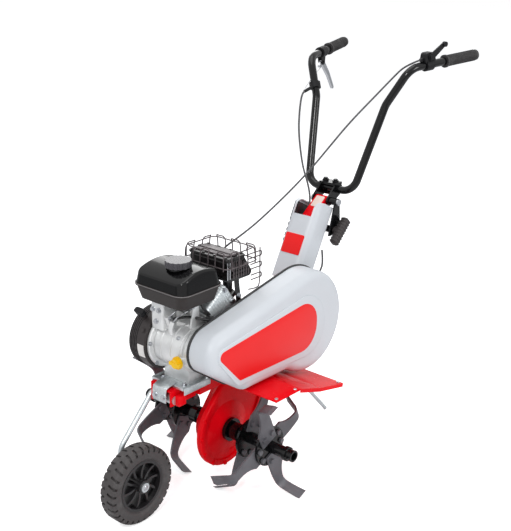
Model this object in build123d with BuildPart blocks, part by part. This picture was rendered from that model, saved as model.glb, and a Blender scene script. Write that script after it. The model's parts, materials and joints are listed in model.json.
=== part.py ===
from build123d import *
import os
from math import acos, asin, atan2, cos, degrees, hypot, pi, radians, sin, sqrt

os.makedirs("parts", exist_ok=True)

# Frame: X rearward, Y to the machine's right, Z up, millimetres, ground at Z 0

# General fits
running_gap = 0.05
moving_gap = 0.3
bolt_gap = 0.15

# Front wheel
wheel_diameter = 200
tyre_width = 50
tyre_height = 34
tyre_round = 11
tread_count = 30
tread_depth = 5
spoke_count = 10
hub_radius = 17
wheel_x = -505
arm_rod_radius = 7
arm_bend_radius = 10.5
arm_hinge_x = -402
arm_hinge_z = 298
arm_knee_x = -515
arm_knee_z = 182

# Tine rotor
axle_x = -217
tip_radius = 155
blade_width = 30
blade_thickness = 5
blade_bend_start = 116
blade_bend_radius = 25
blade_bend_angle = 65
star_half_step = 22.5
shaft_radius = 12.5
shaft_half_length = 130
tube_radius = 15
tube_start_y = 62
tube_end_y = 260
spigot_radius = 11
inner_star_y = 115
outer_star_y = 180
flange_radius = 52
flange_thickness = 6
root_half_width = 27
tine_bolt_radius = 4
tine_bolt_reach = 38
tine_bolt_spread = 15

# Chain case
case_left_y = -40
case_rim_y = -26
case_right_y = 22
case_far_radius = 58
case_far_top_radius = 37
case_rim_radius = 104
case_body_radius = 97
case_top_radius = 56
case_wall = 6
case_recess = 5
case_rim_width = 15
chain_pitch = 12.7
driven_teeth = 34
input_teeth = 10
sprocket_width = 7
chain_width = 13

# Belt drive
input_x = -24
input_z = 418
input_shaft_radius = 10
crank_x = -348
crank_z = 422
crank_radius = 12
belt_y = -110
belt_width = 12
belt_height = 8
engine_pulley_radius = 30
driven_pulley_radius = 105
pulley_lip = 3
pulley_hole_reach = 58
pulley_hole_radius = 21
idler_radius = 18
idler_x = -262
idler_z = 340
idler_pivot_x = -205
idler_pivot_z = 330

# Belt cover
cover_back_y = -84
cover_depth = 72
cover_wall = 2.5
cover_front_radius = 57
cover_rear_radius = 136
cover_front_z = 433
cover_tip_x = -277
cover_tip_z = 313
back_plate_thickness = 3

# Frame
side_plate_y = 44
side_plate_thickness = 4
rail_bottom_z = 290
rail_top_z = 325
rail_front_x = -330
rail_rear_x = 35
nose_front_x = -416
nose_half_width = 30
nose_thickness = 4
deck_thickness = 4
deck_rear_x = -200

# Steering column
column_lean = 27.7
column_foot_x = 82
column_foot_z = 465
column_length = 227
column_width = 88
column_front_depth = 47
column_rear_depth = 34
column_corner = 20
column_wall = 3
column_tube_width = 56
column_tube_depth = 38
notch_width = 60
notch_depth = 46
column_arch = 28
arm_width = 38
arm_thickness = 22
pivot_x = 215
pivot_z = 672
pivot_bolt_radius = 5

# Handlebar
bar_radius = 11
bar_wall = 2
bar_base_x = 250
bar_base_z = 698
bar_base_half = 76
bar_bend = (328, 117, 932)
bar_shoulder = (362, 168, 1032)
bar_end = (598.54, 224.7, 1051.4)
bar_radii = (42, 60, 48)
grip_radius = 14.5
grip_length = 119
sector_radius = 78
sector_half_angle = 10

# Mudguards
guard_inner_y = 48
guard_outer_y = 238
guard_thickness = 2.5
guard_front_x = -262
guard_front_z = 309
guard_crease_x = -165
guard_slope_x = -85
guard_slope_z = 281
guard_rear_x = 12
guard_rear_z = 259
guard_lip = 10

# Engine
base_plate_z = 329
barrel_radius = 55
barrel_left_y = -60
barrel_right_y = 44
fan_radius = 78
fan_right_y = 94
cylinder_lean = 36
cylinder_y = -8
tank_front_x = -425
tank_rear_x = -285
tank_left_y = -88
tank_right_y = 80
tank_bottom_z = 545
tank_seam_z = 582
tank_top_z = 630
tank_tub_taper = 9
tank_lid_taper = 8
tank_lid_round = 7
tank_brow_z = 604
tank_back_z = 614
tank_crown_x = -352
cap_x = -366
cap_y = -18
muffler_front_x = -259
muffler_rear_x = -161
muffler_left_y = -75
muffler_right_y = 48
muffler_bottom_z = 571
muffler_top_z = 628
muffler_crown_x = -199
guard_wire_radius = 1.6

# Rear spur
spur_radius = 5.5
spur_end_x = 261
spur_end_z = 6
spur_top_x = -14
spur_top_z = 308

# Worked-out places
wheel_radius = wheel_diameter / 2
wheel_z = wheel_radius
rim_radius = wheel_radius - tyre_height
axle_z = tip_radius * cos(radians(star_half_step)) + blade_width / 2 * sin(radians(star_half_step))
tube_bore_radius = shaft_radius + running_gap
driven_pitch_radius = chain_pitch / 2 / sin(pi / driven_teeth)
input_pitch_radius = chain_pitch / 2 / sin(pi / input_teeth)
arm_side_y = nose_half_width + nose_thickness + arm_bend_radius + 0.5
case_inner_y = case_left_y + case_recess + case_wall
chain_y = case_inner_y + chain_width / 2 + 1
plate_right_y = cover_back_y + back_plate_thickness
column_axis = (sin(radians(column_lean)), 0, cos(radians(column_lean)))
column_plane = Plane((column_foot_x, 0, column_foot_z), x_dir=(0, 1, 0), z_dir=column_axis)
column_depth = column_front_depth + column_rear_depth
column_shift = (column_front_depth - column_rear_depth) / 2


def side_plane(y):
    return Plane((0, y, 0), x_dir=(1, 0, 0), z_dir=(0, -1, 0))


def lateral_rod(x, z, radius, right_y, left_y, mode=Mode.ADD):
    with Locations((x, (right_y + left_y) / 2, z)):
        Cylinder(radius, right_y - left_y, rotation=(90, 0, 0), mode=mode)


def block(low, high, mode=Mode.ADD):
    centre = [(a + b) / 2 for a, b in zip(low, high)]
    size = [b - a for a, b in zip(low, high)]
    with Locations(tuple(centre)):
        Box(*size, mode=mode)


def two_circle_hull(y, first, first_radius, second, second_radius):
    with BuildSketch(side_plane(y)) as profile:
        with Locations(first):
            Circle(first_radius)
        with Locations(second):
            Circle(second_radius)
        make_hull()
    return profile.sketch


def save(piece, node):
    piece.part.label = node
    export_step(piece.part, f"parts/{node}.step")


axle = (axle_x, axle_z)
input_axis = (input_x, input_z)
crank_axis = (crank_x, crank_z)


def hex_bolt(radius, grip):
    with BuildPart() as bolt:
        Cylinder(radius, grip, align=(Align.CENTER, Align.CENTER, Align.MAX))
        with BuildSketch(Plane.XY):
            RegularPolygon(radius * 1.8, 6)
        extrude(amount=radius * 1.3)
        with BuildSketch(Plane.XY.offset(-grip)):
            RegularPolygon(radius * 1.8, 6)
        extrude(amount=-radius * 1.5)
    return bolt.part


def cap_screw(radius, length):
    with BuildPart() as screw:
        Cylinder(radius, length, align=(Align.CENTER, Align.CENTER, Align.MAX))
        with BuildSketch(Plane.XY):
            RegularPolygon(radius * 1.8, 6)
        extrude(amount=radius * 1.3)
    return screw.part


# Front wheel: tyre, rim and the bent rod that carries it
with BuildPart() as tyre:
    with BuildSketch(Plane.YZ):
        with Locations((0, (rim_radius + wheel_radius) / 2)):
            RectangleRounded(tyre_width, tyre_height, tyre_round)
        with Locations((0, rim_radius)):
            Rectangle(tyre_width - 10, 12, align=(Align.CENTER, Align.MIN))
    revolve(axis=Axis.Y)
    for side in (-1, 1):
        step = 360 / tread_count
        with BuildPart(mode=Mode.PRIVATE) as groove:
            with Locations((wheel_radius, side * tyre_width * 0.3, 0)):
                Box(2 * tread_depth, tyre_width * 0.44, 6, rotation=(side * 14, 0, 0))
            with Locations((wheel_radius - tread_depth, side * tyre_width / 2, 3)):
                Box(3 * tread_depth, 2 * tread_depth, 6)
        with PolarLocations(0, 1):
            for index in range(tread_count):
                turn = step * (index + (0.25 if side > 0 else -0.25))
                add(groove.part.rotate(Axis.Y, turn), mode=Mode.SUBTRACT)
tyre.part = tyre.part.moved(Location((wheel_x, 0, wheel_z)))
save(tyre, "tyre")

rim_width = tyre_width - 8
rim_outer = rim_radius - running_gap
with BuildPart() as spoke_form:
    with BuildSketch(side_plane(rim_width / 2 - 6)):
        with BuildLine():
            ThreePointArc((hub_radius - 3, 3), (rim_radius / 2 + 6, 9), (rim_outer - 5, 4))
            offset(amount=6, side=Side.RIGHT)
        make_face()
    extrude(amount=rim_width - 12)

with BuildPart() as wheel_rim:
    lateral_rod(0, 0, rim_outer, rim_width / 2, -rim_width / 2)
    lateral_rod(0, 0, rim_outer - 7, rim_width / 2, -rim_width / 2, Mode.SUBTRACT)
    lateral_rod(0, 0, rim_outer - 3, 3, -3)
    lateral_rod(0, 0, rim_outer - 12, 3, -3, Mode.SUBTRACT)
    lateral_rod(0, 0, hub_radius, tyre_width / 2 + 3, -tyre_width / 2 - 3)
    for index in range(spoke_count):
        add(spoke_form.part.rotate(Axis.Y, 360 * index / spoke_count))
    lateral_rod(0, 0, arm_rod_radius + running_gap, tyre_width, -tyre_width, Mode.SUBTRACT)
wheel_rim.part = wheel_rim.part.moved(Location((wheel_x, 0, wheel_z)))
save(wheel_rim, "wheel_rim")

hub_end_y = tyre_width / 2 + 3
axle_cap_thickness = 4
with BuildPart() as wheel_arm:
    with BuildLine() as arm_path:
        FilletPolyline(
            (arm_hinge_x, -nose_half_width - 8, arm_hinge_z),
            (arm_hinge_x, arm_side_y, arm_hinge_z),
            (arm_knee_x, arm_side_y, arm_knee_z),
            (wheel_x, arm_side_y, wheel_z),
            (wheel_x, -hub_end_y - axle_cap_thickness, wheel_z),
            radius=[arm_bend_radius, 40, arm_bend_radius],
        )
    with BuildSketch(Plane(arm_path.line @ 0, z_dir=arm_path.line % 0)):
        Circle(arm_rod_radius)
    sweep()
    lateral_rod(
        wheel_x, wheel_z, 12, -hub_end_y - moving_gap, -hub_end_y - axle_cap_thickness
    )
    lateral_rod(
        arm_hinge_x, arm_hinge_z, 11, -nose_half_width - nose_thickness - moving_gap, -nose_half_width - 8
    )
save(wheel_arm, "wheel_arm")

with BuildPart() as wheel_bracket:
    lateral_rod(arm_hinge_x, arm_hinge_z, 12, nose_half_width, -nose_half_width)
    block(
        (arm_hinge_x, -nose_half_width, arm_hinge_z - 12),
        (arm_hinge_x + 40, nose_half_width, arm_hinge_z - 7),
    )
    block(
        (arm_hinge_x + 34, -nose_half_width, arm_hinge_z - 12),
        (arm_hinge_x + 40, nose_half_width, rail_top_z - deck_thickness),
    )
    lateral_rod(
        arm_hinge_x, arm_hinge_z, arm_rod_radius + running_gap,
        nose_half_width + 1, -nose_half_width - 1, Mode.SUBTRACT,
    )
save(wheel_bracket, "wheel_bracket")

# Main frame: deck, side plates that rise to the column, and the narrow nose
column_slope = column_axis[0] / column_axis[2]


def column_x(z):
    return column_foot_x + (z - column_foot_z) * column_slope


screw_radius = 4
case_bolts = ((-120, rail_top_z - 18), (-70, rail_top_z - 18))
guard_bolts = ((-242, rail_top_z - 8.5), (-210, rail_top_z - 8.5))
column_bolt = (column_x(column_foot_z - 20), column_foot_z - 20)
base_bolts = ((-278, -34), (-278, 34))
upright_half = 26
upright_top_z = column_foot_z - 3
with BuildPart() as main_frame:
    with BuildSketch(side_plane(side_plate_y + side_plate_thickness)):
        Polygon(
            (rail_front_x, rail_bottom_z),
            (rail_rear_x, rail_bottom_z),
            (column_x(upright_top_z) + upright_half, upright_top_z),
            (column_x(upright_top_z) - upright_half, upright_top_z),
            (column_x(rail_top_z) - upright_half, rail_top_z),
            (rail_front_x, rail_top_z),
            align=None,
        )
    extrude(amount=side_plate_thickness)
    mirror(about=Plane.XZ)
    outer_y = side_plate_y + side_plate_thickness
    block(
        (nose_front_x, -nose_half_width - nose_thickness, rail_top_z - deck_thickness),
        (rail_front_x, nose_half_width + nose_thickness, rail_top_z),
    )
    block(
        (rail_front_x, -outer_y, rail_top_z - deck_thickness),
        (deck_rear_x, outer_y, rail_top_z),
    )
    for side in (-1, 1):
        cheek = sorted((side * nose_half_width, side * (nose_half_width + nose_thickness)))
        block(
            (nose_front_x, cheek[0], arm_hinge_z - 14),
            (rail_front_x, cheek[1], rail_top_z),
        )
        flange = sorted((side * nose_half_width, side * outer_y))
        block(
            (rail_front_x, flange[0], rail_bottom_z),
            (rail_front_x + 4, flange[1], rail_top_z),
        )
    block((rail_rear_x - 14, -outer_y, rail_bottom_z), (rail_rear_x, outer_y, rail_bottom_z + 5))
    lateral_rod(
        arm_hinge_x, arm_hinge_z, arm_rod_radius + 0.6, 2 * nose_half_width,
        -2 * nose_half_width, Mode.SUBTRACT,
    )
    for x, z in (*case_bolts, *guard_bolts, column_bolt):
        lateral_rod(x, z, screw_radius + bolt_gap, 60, -60, Mode.SUBTRACT)
    with Locations(*base_bolts):
        Cylinder(screw_radius + bolt_gap, 2 * rail_top_z, mode=Mode.SUBTRACT)
save(main_frame, "main_frame")

# Chain case: two pressed halves around the chain
bearing_radius = 31
dish_radius = 74
dish_rise = 6
input_bearing_radius = 20
boss_radius = 38
case_top_inner = case_top_radius - 5 - case_wall
with BuildPart() as chain_case_left:
    extrude(
        two_circle_hull(case_rim_y, axle, case_rim_radius, input_axis, case_top_radius),
        amount=case_rim_y - case_left_y,
    )
    fillet(chain_case_left.faces().sort_by(Axis.Y)[0].edges(), 5)
    extrude(
        two_circle_hull(case_left_y + case_recess, axle, case_rim_radius - case_rim_width, input_axis,
                        case_top_radius - case_rim_width),
        amount=case_recess, mode=Mode.SUBTRACT,
    )
    lateral_rod(input_x, input_z, boss_radius, case_left_y + case_recess, plate_right_y)
    for y, radius in ((case_left_y + case_recess, dish_radius), (case_left_y - dish_rise, bearing_radius + 6)):
        with BuildSketch(side_plane(y)):
            with Locations(axle):
                Circle(radius)
    loft()
    for x, z in case_bolts:
        lateral_rod(x, z, 9, case_left_y + case_recess, -side_plate_y)
        lateral_rod(x, z, screw_radius + bolt_gap, case_left_y + case_recess, -side_plate_y - 1, Mode.SUBTRACT)
    extrude(
        two_circle_hull(case_rim_y, axle, case_body_radius - case_wall, input_axis, case_top_inner),
        amount=case_rim_y - case_inner_y, mode=Mode.SUBTRACT,
    )
    lateral_rod(axle_x, axle_z, bearing_radius, 0, 2 * case_left_y, Mode.SUBTRACT)
    lateral_rod(input_x, input_z, input_bearing_radius, 0, 3 * case_left_y, Mode.SUBTRACT)
save(chain_case_left, "chain_case_left")


def case_cone(inset):
    with BuildPart() as cone:
        for y, lower, upper in ((case_rim_y, case_body_radius, case_top_inner + case_wall),
                                (case_right_y - inset, case_far_radius, case_far_top_radius)):
            add(two_circle_hull(y, axle, lower - inset, input_axis, upper - inset))
        loft(ruled=True)
    return cone.part


with BuildPart() as chain_case_right:
    add(case_cone(0))
    for x, z in case_bolts:
        lateral_rod(x, z, 9, side_plate_y, case_right_y - 1)
        lateral_rod(x, z, screw_radius + bolt_gap, side_plate_y + 1, case_right_y + 1, Mode.SUBTRACT)
    add(case_cone(case_wall), mode=Mode.SUBTRACT)
    lateral_rod(axle_x, axle_z, bearing_radius, 2 * case_right_y, 0, Mode.SUBTRACT)
    lateral_rod(input_x, input_z, input_bearing_radius, 2 * case_right_y, 0, Mode.SUBTRACT)
save(chain_case_right, "chain_case_right")

bearing_stand = 16
with BuildPart() as shaft_bearings:
    seat = bearing_radius - running_gap
    lateral_rod(axle_x, axle_z, seat, case_inner_y, case_left_y - bearing_stand)
    lateral_rod(axle_x, axle_z, seat, case_right_y + bearing_stand, case_right_y - case_wall)
    lateral_rod(axle_x, axle_z, shaft_radius + running_gap, 99, -99, Mode.SUBTRACT)
    input_seat = input_bearing_radius - running_gap
    lateral_rod(input_x, input_z, input_seat, case_left_y + case_recess, plate_right_y)
    lateral_rod(input_x, input_z, input_seat, case_right_y, case_right_y - case_wall)
    lateral_rod(input_x, input_z, input_shaft_radius + running_gap, 99, -99, Mode.SUBTRACT)
save(shaft_bearings, "shaft_bearings")


def sprocket_disc(centre, pitch_radius, teeth, bore_radius, hub_outer, hub_right_y):
    lateral_rod(*centre, pitch_radius - 4.6, chain_y + sprocket_width / 2, chain_y - sprocket_width / 2)
    tooth_width = 4.2
    for index in range(teeth):
        turn = 360 * index / teeth
        reach = pitch_radius - 0.5
        with Locations((
            centre[0] + reach * cos(radians(turn)), chain_y, centre[1] + reach * sin(radians(turn)),
        )):
            Box(10, sprocket_width, tooth_width, rotation=(0, -turn, 0))
    lateral_rod(*centre, hub_outer, hub_right_y, case_inner_y + moving_gap)
    lateral_rod(*centre, bore_radius, hub_right_y + 1, case_inner_y, Mode.SUBTRACT)


with BuildPart() as driven_sprocket:
    sprocket_disc(axle, driven_pitch_radius, driven_teeth, shaft_radius + running_gap, 22, chain_y + 15)
save(driven_sprocket, "driven_sprocket")

chain_half = 5
with BuildPart() as drive_chain:
    for inner in (False, True):
        shift = -chain_half if inner else chain_half
        extrude(
            two_circle_hull(chain_y + chain_width / 2, axle, driven_pitch_radius + shift + 1.5,
                            input_axis, input_pitch_radius + shift + 1.5),
            amount=chain_width, mode=Mode.SUBTRACT if inner else Mode.ADD,
        )
    for centre, reach in ((axle, driven_pitch_radius), (input_axis, input_pitch_radius)):
        lateral_rod(*centre, reach + 5, chain_y + sprocket_width / 2 + 1,
                    chain_y - sprocket_width / 2 - 1, Mode.SUBTRACT)
save(drive_chain, "drive_chain")

# Rotor: shaft, two tine carriers, four sets of blades and their bolts
with BuildPart() as tine_shaft:
    lateral_rod(axle_x, axle_z, shaft_radius, shaft_half_length, -shaft_half_length)
save(tine_shaft, "tine_shaft")

outer_blades = ((0, 1), (90, -1), (180, 1), (270, -1))
inner_blades = ((0, -1), (180, 1))
star_places = (
    (-outer_star_y, -90 + star_half_step, outer_blades), (-inner_star_y, -90 - star_half_step, inner_blades),
    (inner_star_y, -90 - star_half_step, inner_blades), (outer_star_y, -90 + star_half_step, outer_blades),
)


def blade_turns(star_y, phase, blades):
    side = -1 if star_y < 0 else 1
    for turn, outward in blades:
        yield phase + turn, side * outward


def bolt_places(star_y, phase, blades):
    for turn, way in blade_turns(star_y, phase, blades):
        for spread in (-tine_bolt_spread, tine_bolt_spread):
            angle = radians(turn)
            x = axle_x + tine_bolt_reach * cos(angle) - spread * sin(angle)
            z = axle_z + tine_bolt_reach * sin(angle) + spread * cos(angle)
            yield x, z, way


with BuildPart() as blade_form:
    with BuildSketch(Plane.XZ.offset(-120)):
        with BuildLine():
            Polyline(
                (30, root_half_width), (17, root_half_width), (17, -root_half_width), (60, -root_half_width)
            )
            ThreePointArc((60, -root_half_width), (112, -24), (tip_radius, -blade_width / 2))
            Line((tip_radius, -blade_width / 2), (tip_radius, blade_width / 2))
            ThreePointArc((tip_radius, blade_width / 2), (104, 5), (60, root_half_width))
            Line((60, root_half_width), (30, root_half_width))
        make_face()
    extrude(amount=240)
    with BuildSketch(Plane.XY.offset(-60)) as bent:
        with BuildLine():
            root = Line((0, 0), (blade_bend_start, 0))
            bend = JernArc(root @ 1, root % 1, blade_bend_radius, -blade_bend_angle)
            PolarLine(bend @ 1, 90, direction=bend % 1)
            offset(amount=blade_thickness, side=Side.RIGHT)
        make_face()
    extrude(amount=120, mode=Mode.INTERSECT)
    for spread in (-tine_bolt_spread, tine_bolt_spread):
        lateral_rod(tine_bolt_reach, spread, tine_bolt_radius + bolt_gap, 20, -20, Mode.SUBTRACT)

blade_left = blade_form.part
blade_right = blade_left.mirror(Plane.XZ)
blade_nodes = ("left_outer_blades", "left_inner_blades", "right_inner_blades", "right_outer_blades")
for node, star in zip(blade_nodes, star_places):
    with BuildPart() as blade_set:
        for turn, way in blade_turns(*star):
            seat_y = star[0] + way * flange_thickness / 2
            form = blade_left if way < 0 else blade_right
            add(form.moved(Location((axle_x, seat_y, axle_z), (0, -turn, 0))))
    save(blade_set, node)

for node, side in (("left_tine_carrier", -1), ("right_tine_carrier", 1)):
    with BuildPart() as carrier:
        ends = sorted((side * tube_start_y, side * tube_end_y))
        lateral_rod(axle_x, axle_z, tube_radius, ends[1], ends[0])
        collar = sorted((side * tube_start_y, side * (tube_start_y + 22)))
        lateral_rod(axle_x, axle_z, tube_radius + 8, collar[1], collar[0])
        for star in star_places:
            star_y = star[0]
            if star_y * side > 0:
                lateral_rod(axle_x, axle_z, flange_radius, star_y + flange_thickness / 2,
                            star_y - flange_thickness / 2)
                for x, z, way in bolt_places(*star):
                    lateral_rod(x, z, tine_bolt_radius + bolt_gap, star_y + 9, star_y - 9, Mode.SUBTRACT)
        shaft_room = sorted((side * (tube_start_y - 1), side * (shaft_half_length + 1)))
        lateral_rod(axle_x, axle_z, tube_bore_radius, shaft_room[1], shaft_room[0], Mode.SUBTRACT)
        lateral_rod(axle_x, axle_z, spigot_radius + running_gap, ends[1] + 1, ends[0] - 1, Mode.SUBTRACT)
    save(carrier, node)

tine_bolt = hex_bolt(tine_bolt_radius, flange_thickness + blade_thickness)
with BuildPart() as tine_bolts:
    for star in star_places:
        for x, z, way in bolt_places(*star):
            head_y = star[0] + way * (flange_thickness / 2 + blade_thickness)
            add(tine_bolt.moved(Location((x, head_y, z), (-90 * way, 0, 0))))
save(tine_bolts, "tine_bolts")

# Upper shaft with its pinion and the driven pulley
with BuildPart() as input_shaft:
    lateral_rod(input_x, input_z, input_shaft_radius, case_right_y - 1, belt_y - belt_width)
    sprocket_disc(input_axis, input_pitch_radius, input_teeth, 0.01, 15, chain_y + 10)
    lateral_rod(input_x, input_z, input_shaft_radius, case_right_y - 1, belt_y - belt_width)
save(input_shaft, "input_shaft")


def pulley(centre, radius, bore_radius):
    half = belt_width / 2 + 5
    lateral_rod(*centre, radius + pulley_lip, belt_y + half, belt_y - half)
    with BuildPart(mode=Mode.PRIVATE) as ring:
        lateral_rod(*centre, radius + pulley_lip + 1, belt_y + belt_width / 2 + moving_gap,
                    belt_y - belt_width / 2 - moving_gap)
        lateral_rod(*centre, radius - belt_height + 2 - moving_gap, belt_y + half, belt_y - half, Mode.SUBTRACT)
    add(ring.part, mode=Mode.SUBTRACT)
    lateral_rod(*centre, bore_radius, belt_y + 2 * half, belt_y - 2 * half, Mode.SUBTRACT)


with BuildPart() as driven_pulley:
    pulley(input_axis, driven_pulley_radius, input_shaft_radius + running_gap)
    for index in range(5):
        turn = radians(72 * index)
        hole_x = input_x + pulley_hole_reach * cos(turn)
        hole_z = input_z + pulley_hole_reach * sin(turn)
        lateral_rod(hole_x, hole_z, pulley_hole_radius, belt_y + 20, belt_y - 20, Mode.SUBTRACT)
save(driven_pulley, "driven_pulley")

with BuildPart() as engine_pulley:
    pulley(crank_axis, engine_pulley_radius, crank_radius + running_gap)
save(engine_pulley, "engine_pulley")

with BuildPart() as drive_belt:
    for lift, mode in ((2, Mode.ADD), (2 - belt_height, Mode.SUBTRACT)):
        extrude(
            two_circle_hull(belt_y + belt_width / 2, crank_axis, engine_pulley_radius + lift,
                            input_axis, driven_pulley_radius + lift),
            amount=belt_width, mode=mode,
        )
save(drive_belt, "drive_belt")

flywheel_right_y = fan_right_y - 12
with BuildPart() as crankshaft:
    lateral_rod(crank_x, crank_z, crank_radius, fan_right_y + 6, belt_y - belt_width)
save(crankshaft, "crankshaft")

with BuildPart() as flywheel:
    lateral_rod(crank_x, crank_z, fan_radius - 14, barrel_right_y + 16, barrel_right_y + 8)
    lateral_rod(crank_x, crank_z, 24, flywheel_right_y, barrel_right_y + 8)
    for index in range(14):
        turn = 360 * index / 14
        with Locations((
            crank_x + 50 * cos(radians(turn)), (barrel_right_y + 16 + flywheel_right_y) / 2,
            crank_z + 50 * sin(radians(turn)),
        )):
            Box(24, flywheel_right_y - barrel_right_y - 16, 3, rotation=(0, -turn + 12, 0))
    lateral_rod(crank_x, crank_z, crank_radius + running_gap, fan_right_y, 0, Mode.SUBTRACT)
save(flywheel, "flywheel")

arm_plate_y = cover_back_y - 3
with BuildPart() as tension_arm:
    extrude(
        two_circle_hull(arm_plate_y, (idler_pivot_x, idler_pivot_z), 12, (idler_x, idler_z), 11),
        amount=5,
    )
    lateral_rod(idler_x, idler_z, 6, arm_plate_y, belt_y - belt_width / 2)
    lateral_rod(idler_x, idler_z, idler_radius, belt_y + belt_width / 2, belt_y - belt_width / 2)
    lateral_rod(idler_pivot_x, idler_pivot_z, 6 + running_gap, 0, -200, Mode.SUBTRACT)
save(tension_arm, "tension_arm")


# Belt cover and the plate behind it
def cover_outline(y, grow):
    front = (crank_x, cover_front_z)
    spacing = hypot(input_x - crank_x, input_z - cover_front_z)
    spread = cover_front_radius - cover_rear_radius
    top = degrees(atan2(input_z - cover_front_z, input_x - crank_x) + acos(spread / spacing))
    to_tip = atan2(cover_tip_z - cover_front_z, cover_tip_x - crank_x)
    tip_reach = hypot(cover_tip_x - crank_x, cover_tip_z - cover_front_z)
    low = degrees(to_tip - acos(cover_front_radius / tip_reach)) + 360
    drop = input_z - cover_tip_z + 2
    notch_angle = 180 + degrees(asin(drop / cover_rear_radius))
    with BuildSketch(side_plane(y)) as outline:
        with BuildLine():
            nose = CenterArc(front, cover_front_radius, top, low - top)
            slope = Line(nose @ 1, (cover_tip_x, cover_tip_z))
            tail = CenterArc(input_axis, cover_rear_radius, notch_angle, top + 360 - notch_angle)
            Line(slope @ 1, tail @ 0)
            Line(tail @ 1, nose @ 0)
        make_face()
        tip_corner = outline.vertices().sort_by_distance((cover_tip_x, y, cover_tip_z))[0]
        fillet(tip_corner, 30)
        notch_x = input_x - sqrt(cover_rear_radius ** 2 - drop ** 2)
        notch = outline.vertices().sort_by_distance((notch_x, y, cover_tip_z - 2))[0]
        fillet(notch, 40)
        if grow:
            offset(amount=grow)
    return outline.sketch


cover_round = 24
with BuildPart() as belt_cover:
    extrude(cover_outline(cover_back_y, 0), amount=cover_depth)
    fillet(belt_cover.faces().sort_by(Axis.Y)[0].edges(), cover_round)
    offset(amount=-cover_wall, openings=belt_cover.faces().sort_by(Axis.Y)[-1])
save(belt_cover, "belt_cover")

with BuildPart() as belt_back_plate:
    extrude(cover_outline(plate_right_y, -1), amount=back_plate_thickness)
    lateral_rod(crank_x, crank_z, crank_radius + 6, 0, -200, Mode.SUBTRACT)
    lateral_rod(input_x, input_z, input_bearing_radius, 0, -200, Mode.SUBTRACT)
    lateral_rod(idler_pivot_x, idler_pivot_z, 6, cover_back_y, arm_plate_y - 9)
    lateral_rod(idler_pivot_x, idler_pivot_z, 9, cover_back_y, arm_plate_y + moving_gap)
    lateral_rod(idler_pivot_x, idler_pivot_z, 9, arm_plate_y - 5 - moving_gap, arm_plate_y - 9)
save(belt_back_plate, "belt_back_plate")

# Mudguards
guard_path = ((guard_front_x, guard_front_z), (guard_crease_x, guard_front_z - 1),
              (guard_slope_x, guard_slope_z), (guard_rear_x, guard_rear_z))
for node, side in (("left_mudguard", -1), ("right_mudguard", 1)):
    with BuildPart() as mudguard:
        right_y = max(side * guard_inner_y, side * guard_outer_y)
        with BuildSketch(side_plane(right_y)):
            with BuildLine():
                FilletPolyline(*guard_path, radius=30)
                offset(amount=guard_thickness, side=Side.RIGHT)
            make_face()
        extrude(amount=guard_outer_y - guard_inner_y)
        lip_y = max(side * guard_outer_y, side * (guard_outer_y - guard_thickness))
        with BuildSketch(side_plane(lip_y)):
            with BuildLine():
                FilletPolyline(*guard_path[1:], radius=30)
                offset(amount=guard_lip, side=Side.RIGHT)
            make_face()
        extrude(amount=guard_thickness)
        flange = sorted((side * guard_inner_y, side * (guard_inner_y + guard_thickness)))
        block((guard_front_x, flange[0], guard_front_z - 4), (-190, flange[1], rail_top_z - 2))
        for x, z in guard_bolts:
            lateral_rod(x, z, screw_radius + bolt_gap, 60, -60, Mode.SUBTRACT)
    save(mudguard, node)

# Steering column: red tube with its arm, and two grey half covers
tube_foot = -40
stud_radius = 5
stud_angle = radians(-96.6)
stud_x = pivot_x + sector_radius * cos(stud_angle)
stud_z = pivot_z + sector_radius * sin(stud_angle)
arm_angle = atan2(60, 80)
with BuildPart() as column_tube:
    with BuildSketch(column_plane.offset(tube_foot)):
        Rectangle(column_tube_width, column_tube_depth)
        Rectangle(column_tube_width - 6, column_tube_depth - 6, mode=Mode.SUBTRACT)
    extrude(amount=column_length - 50 - tube_foot)
    with BuildSketch(column_plane.offset(tube_foot)):
        Rectangle(2 * side_plate_y, column_tube_depth)
        Rectangle(column_tube_width - 6, column_tube_depth - 6, mode=Mode.SUBTRACT)
    extrude(amount=34)
    with BuildSketch(side_plane(arm_width / 2)):
        SlotCenterPoint(
            (pivot_x - 40 * cos(arm_angle), pivot_z - 40 * sin(arm_angle)), (pivot_x, pivot_z), arm_thickness
        )
    extrude(amount=arm_width)
    extrude(two_circle_hull(-3, (pivot_x, pivot_z), 10, (stud_x, stud_z), 10), amount=arm_width / 2 - 3)
    lateral_rod(stud_x, stud_z, 10, -arm_width / 2, -column_width / 2 - 2)
    lateral_rod(stud_x, stud_z, stud_radius + running_gap, 0, -99, Mode.SUBTRACT)
    for side in (-1, 1):
        ends = sorted((side * (side_plate_y - 17), side * (side_plate_y + 1)))
        lateral_rod(*column_bolt, screw_radius + bolt_gap, ends[1], ends[0], Mode.SUBTRACT)
    lateral_rod(pivot_x, pivot_z, pivot_bolt_radius + running_gap, 99, -99, Mode.SUBTRACT)
save(column_tube, "column_tube")


def column_form(inset):
    with BuildPart() as form:
        with BuildSketch(column_plane):
            with Locations((0, column_shift)):
                RectangleRounded(column_width - 2 * inset, column_depth - 2 * inset, column_corner - inset)
        extrude(amount=column_length - inset)
        profile = Plane(column_plane.origin, x_dir=column_plane.y_dir, z_dir=(0, 1, 0))
        with BuildSketch(profile.offset(-column_width)) as arch:
            with Locations((column_shift, 0)):
                Rectangle(column_depth, 2 * (column_length - inset))
            rise = Axis(column_plane.origin, column_plane.z_dir)
            fillet(arch.vertices().sort_by(rise)[-2:], column_arch - inset)
        extrude(amount=2 * column_width, mode=Mode.INTERSECT)
    return form.part


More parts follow.
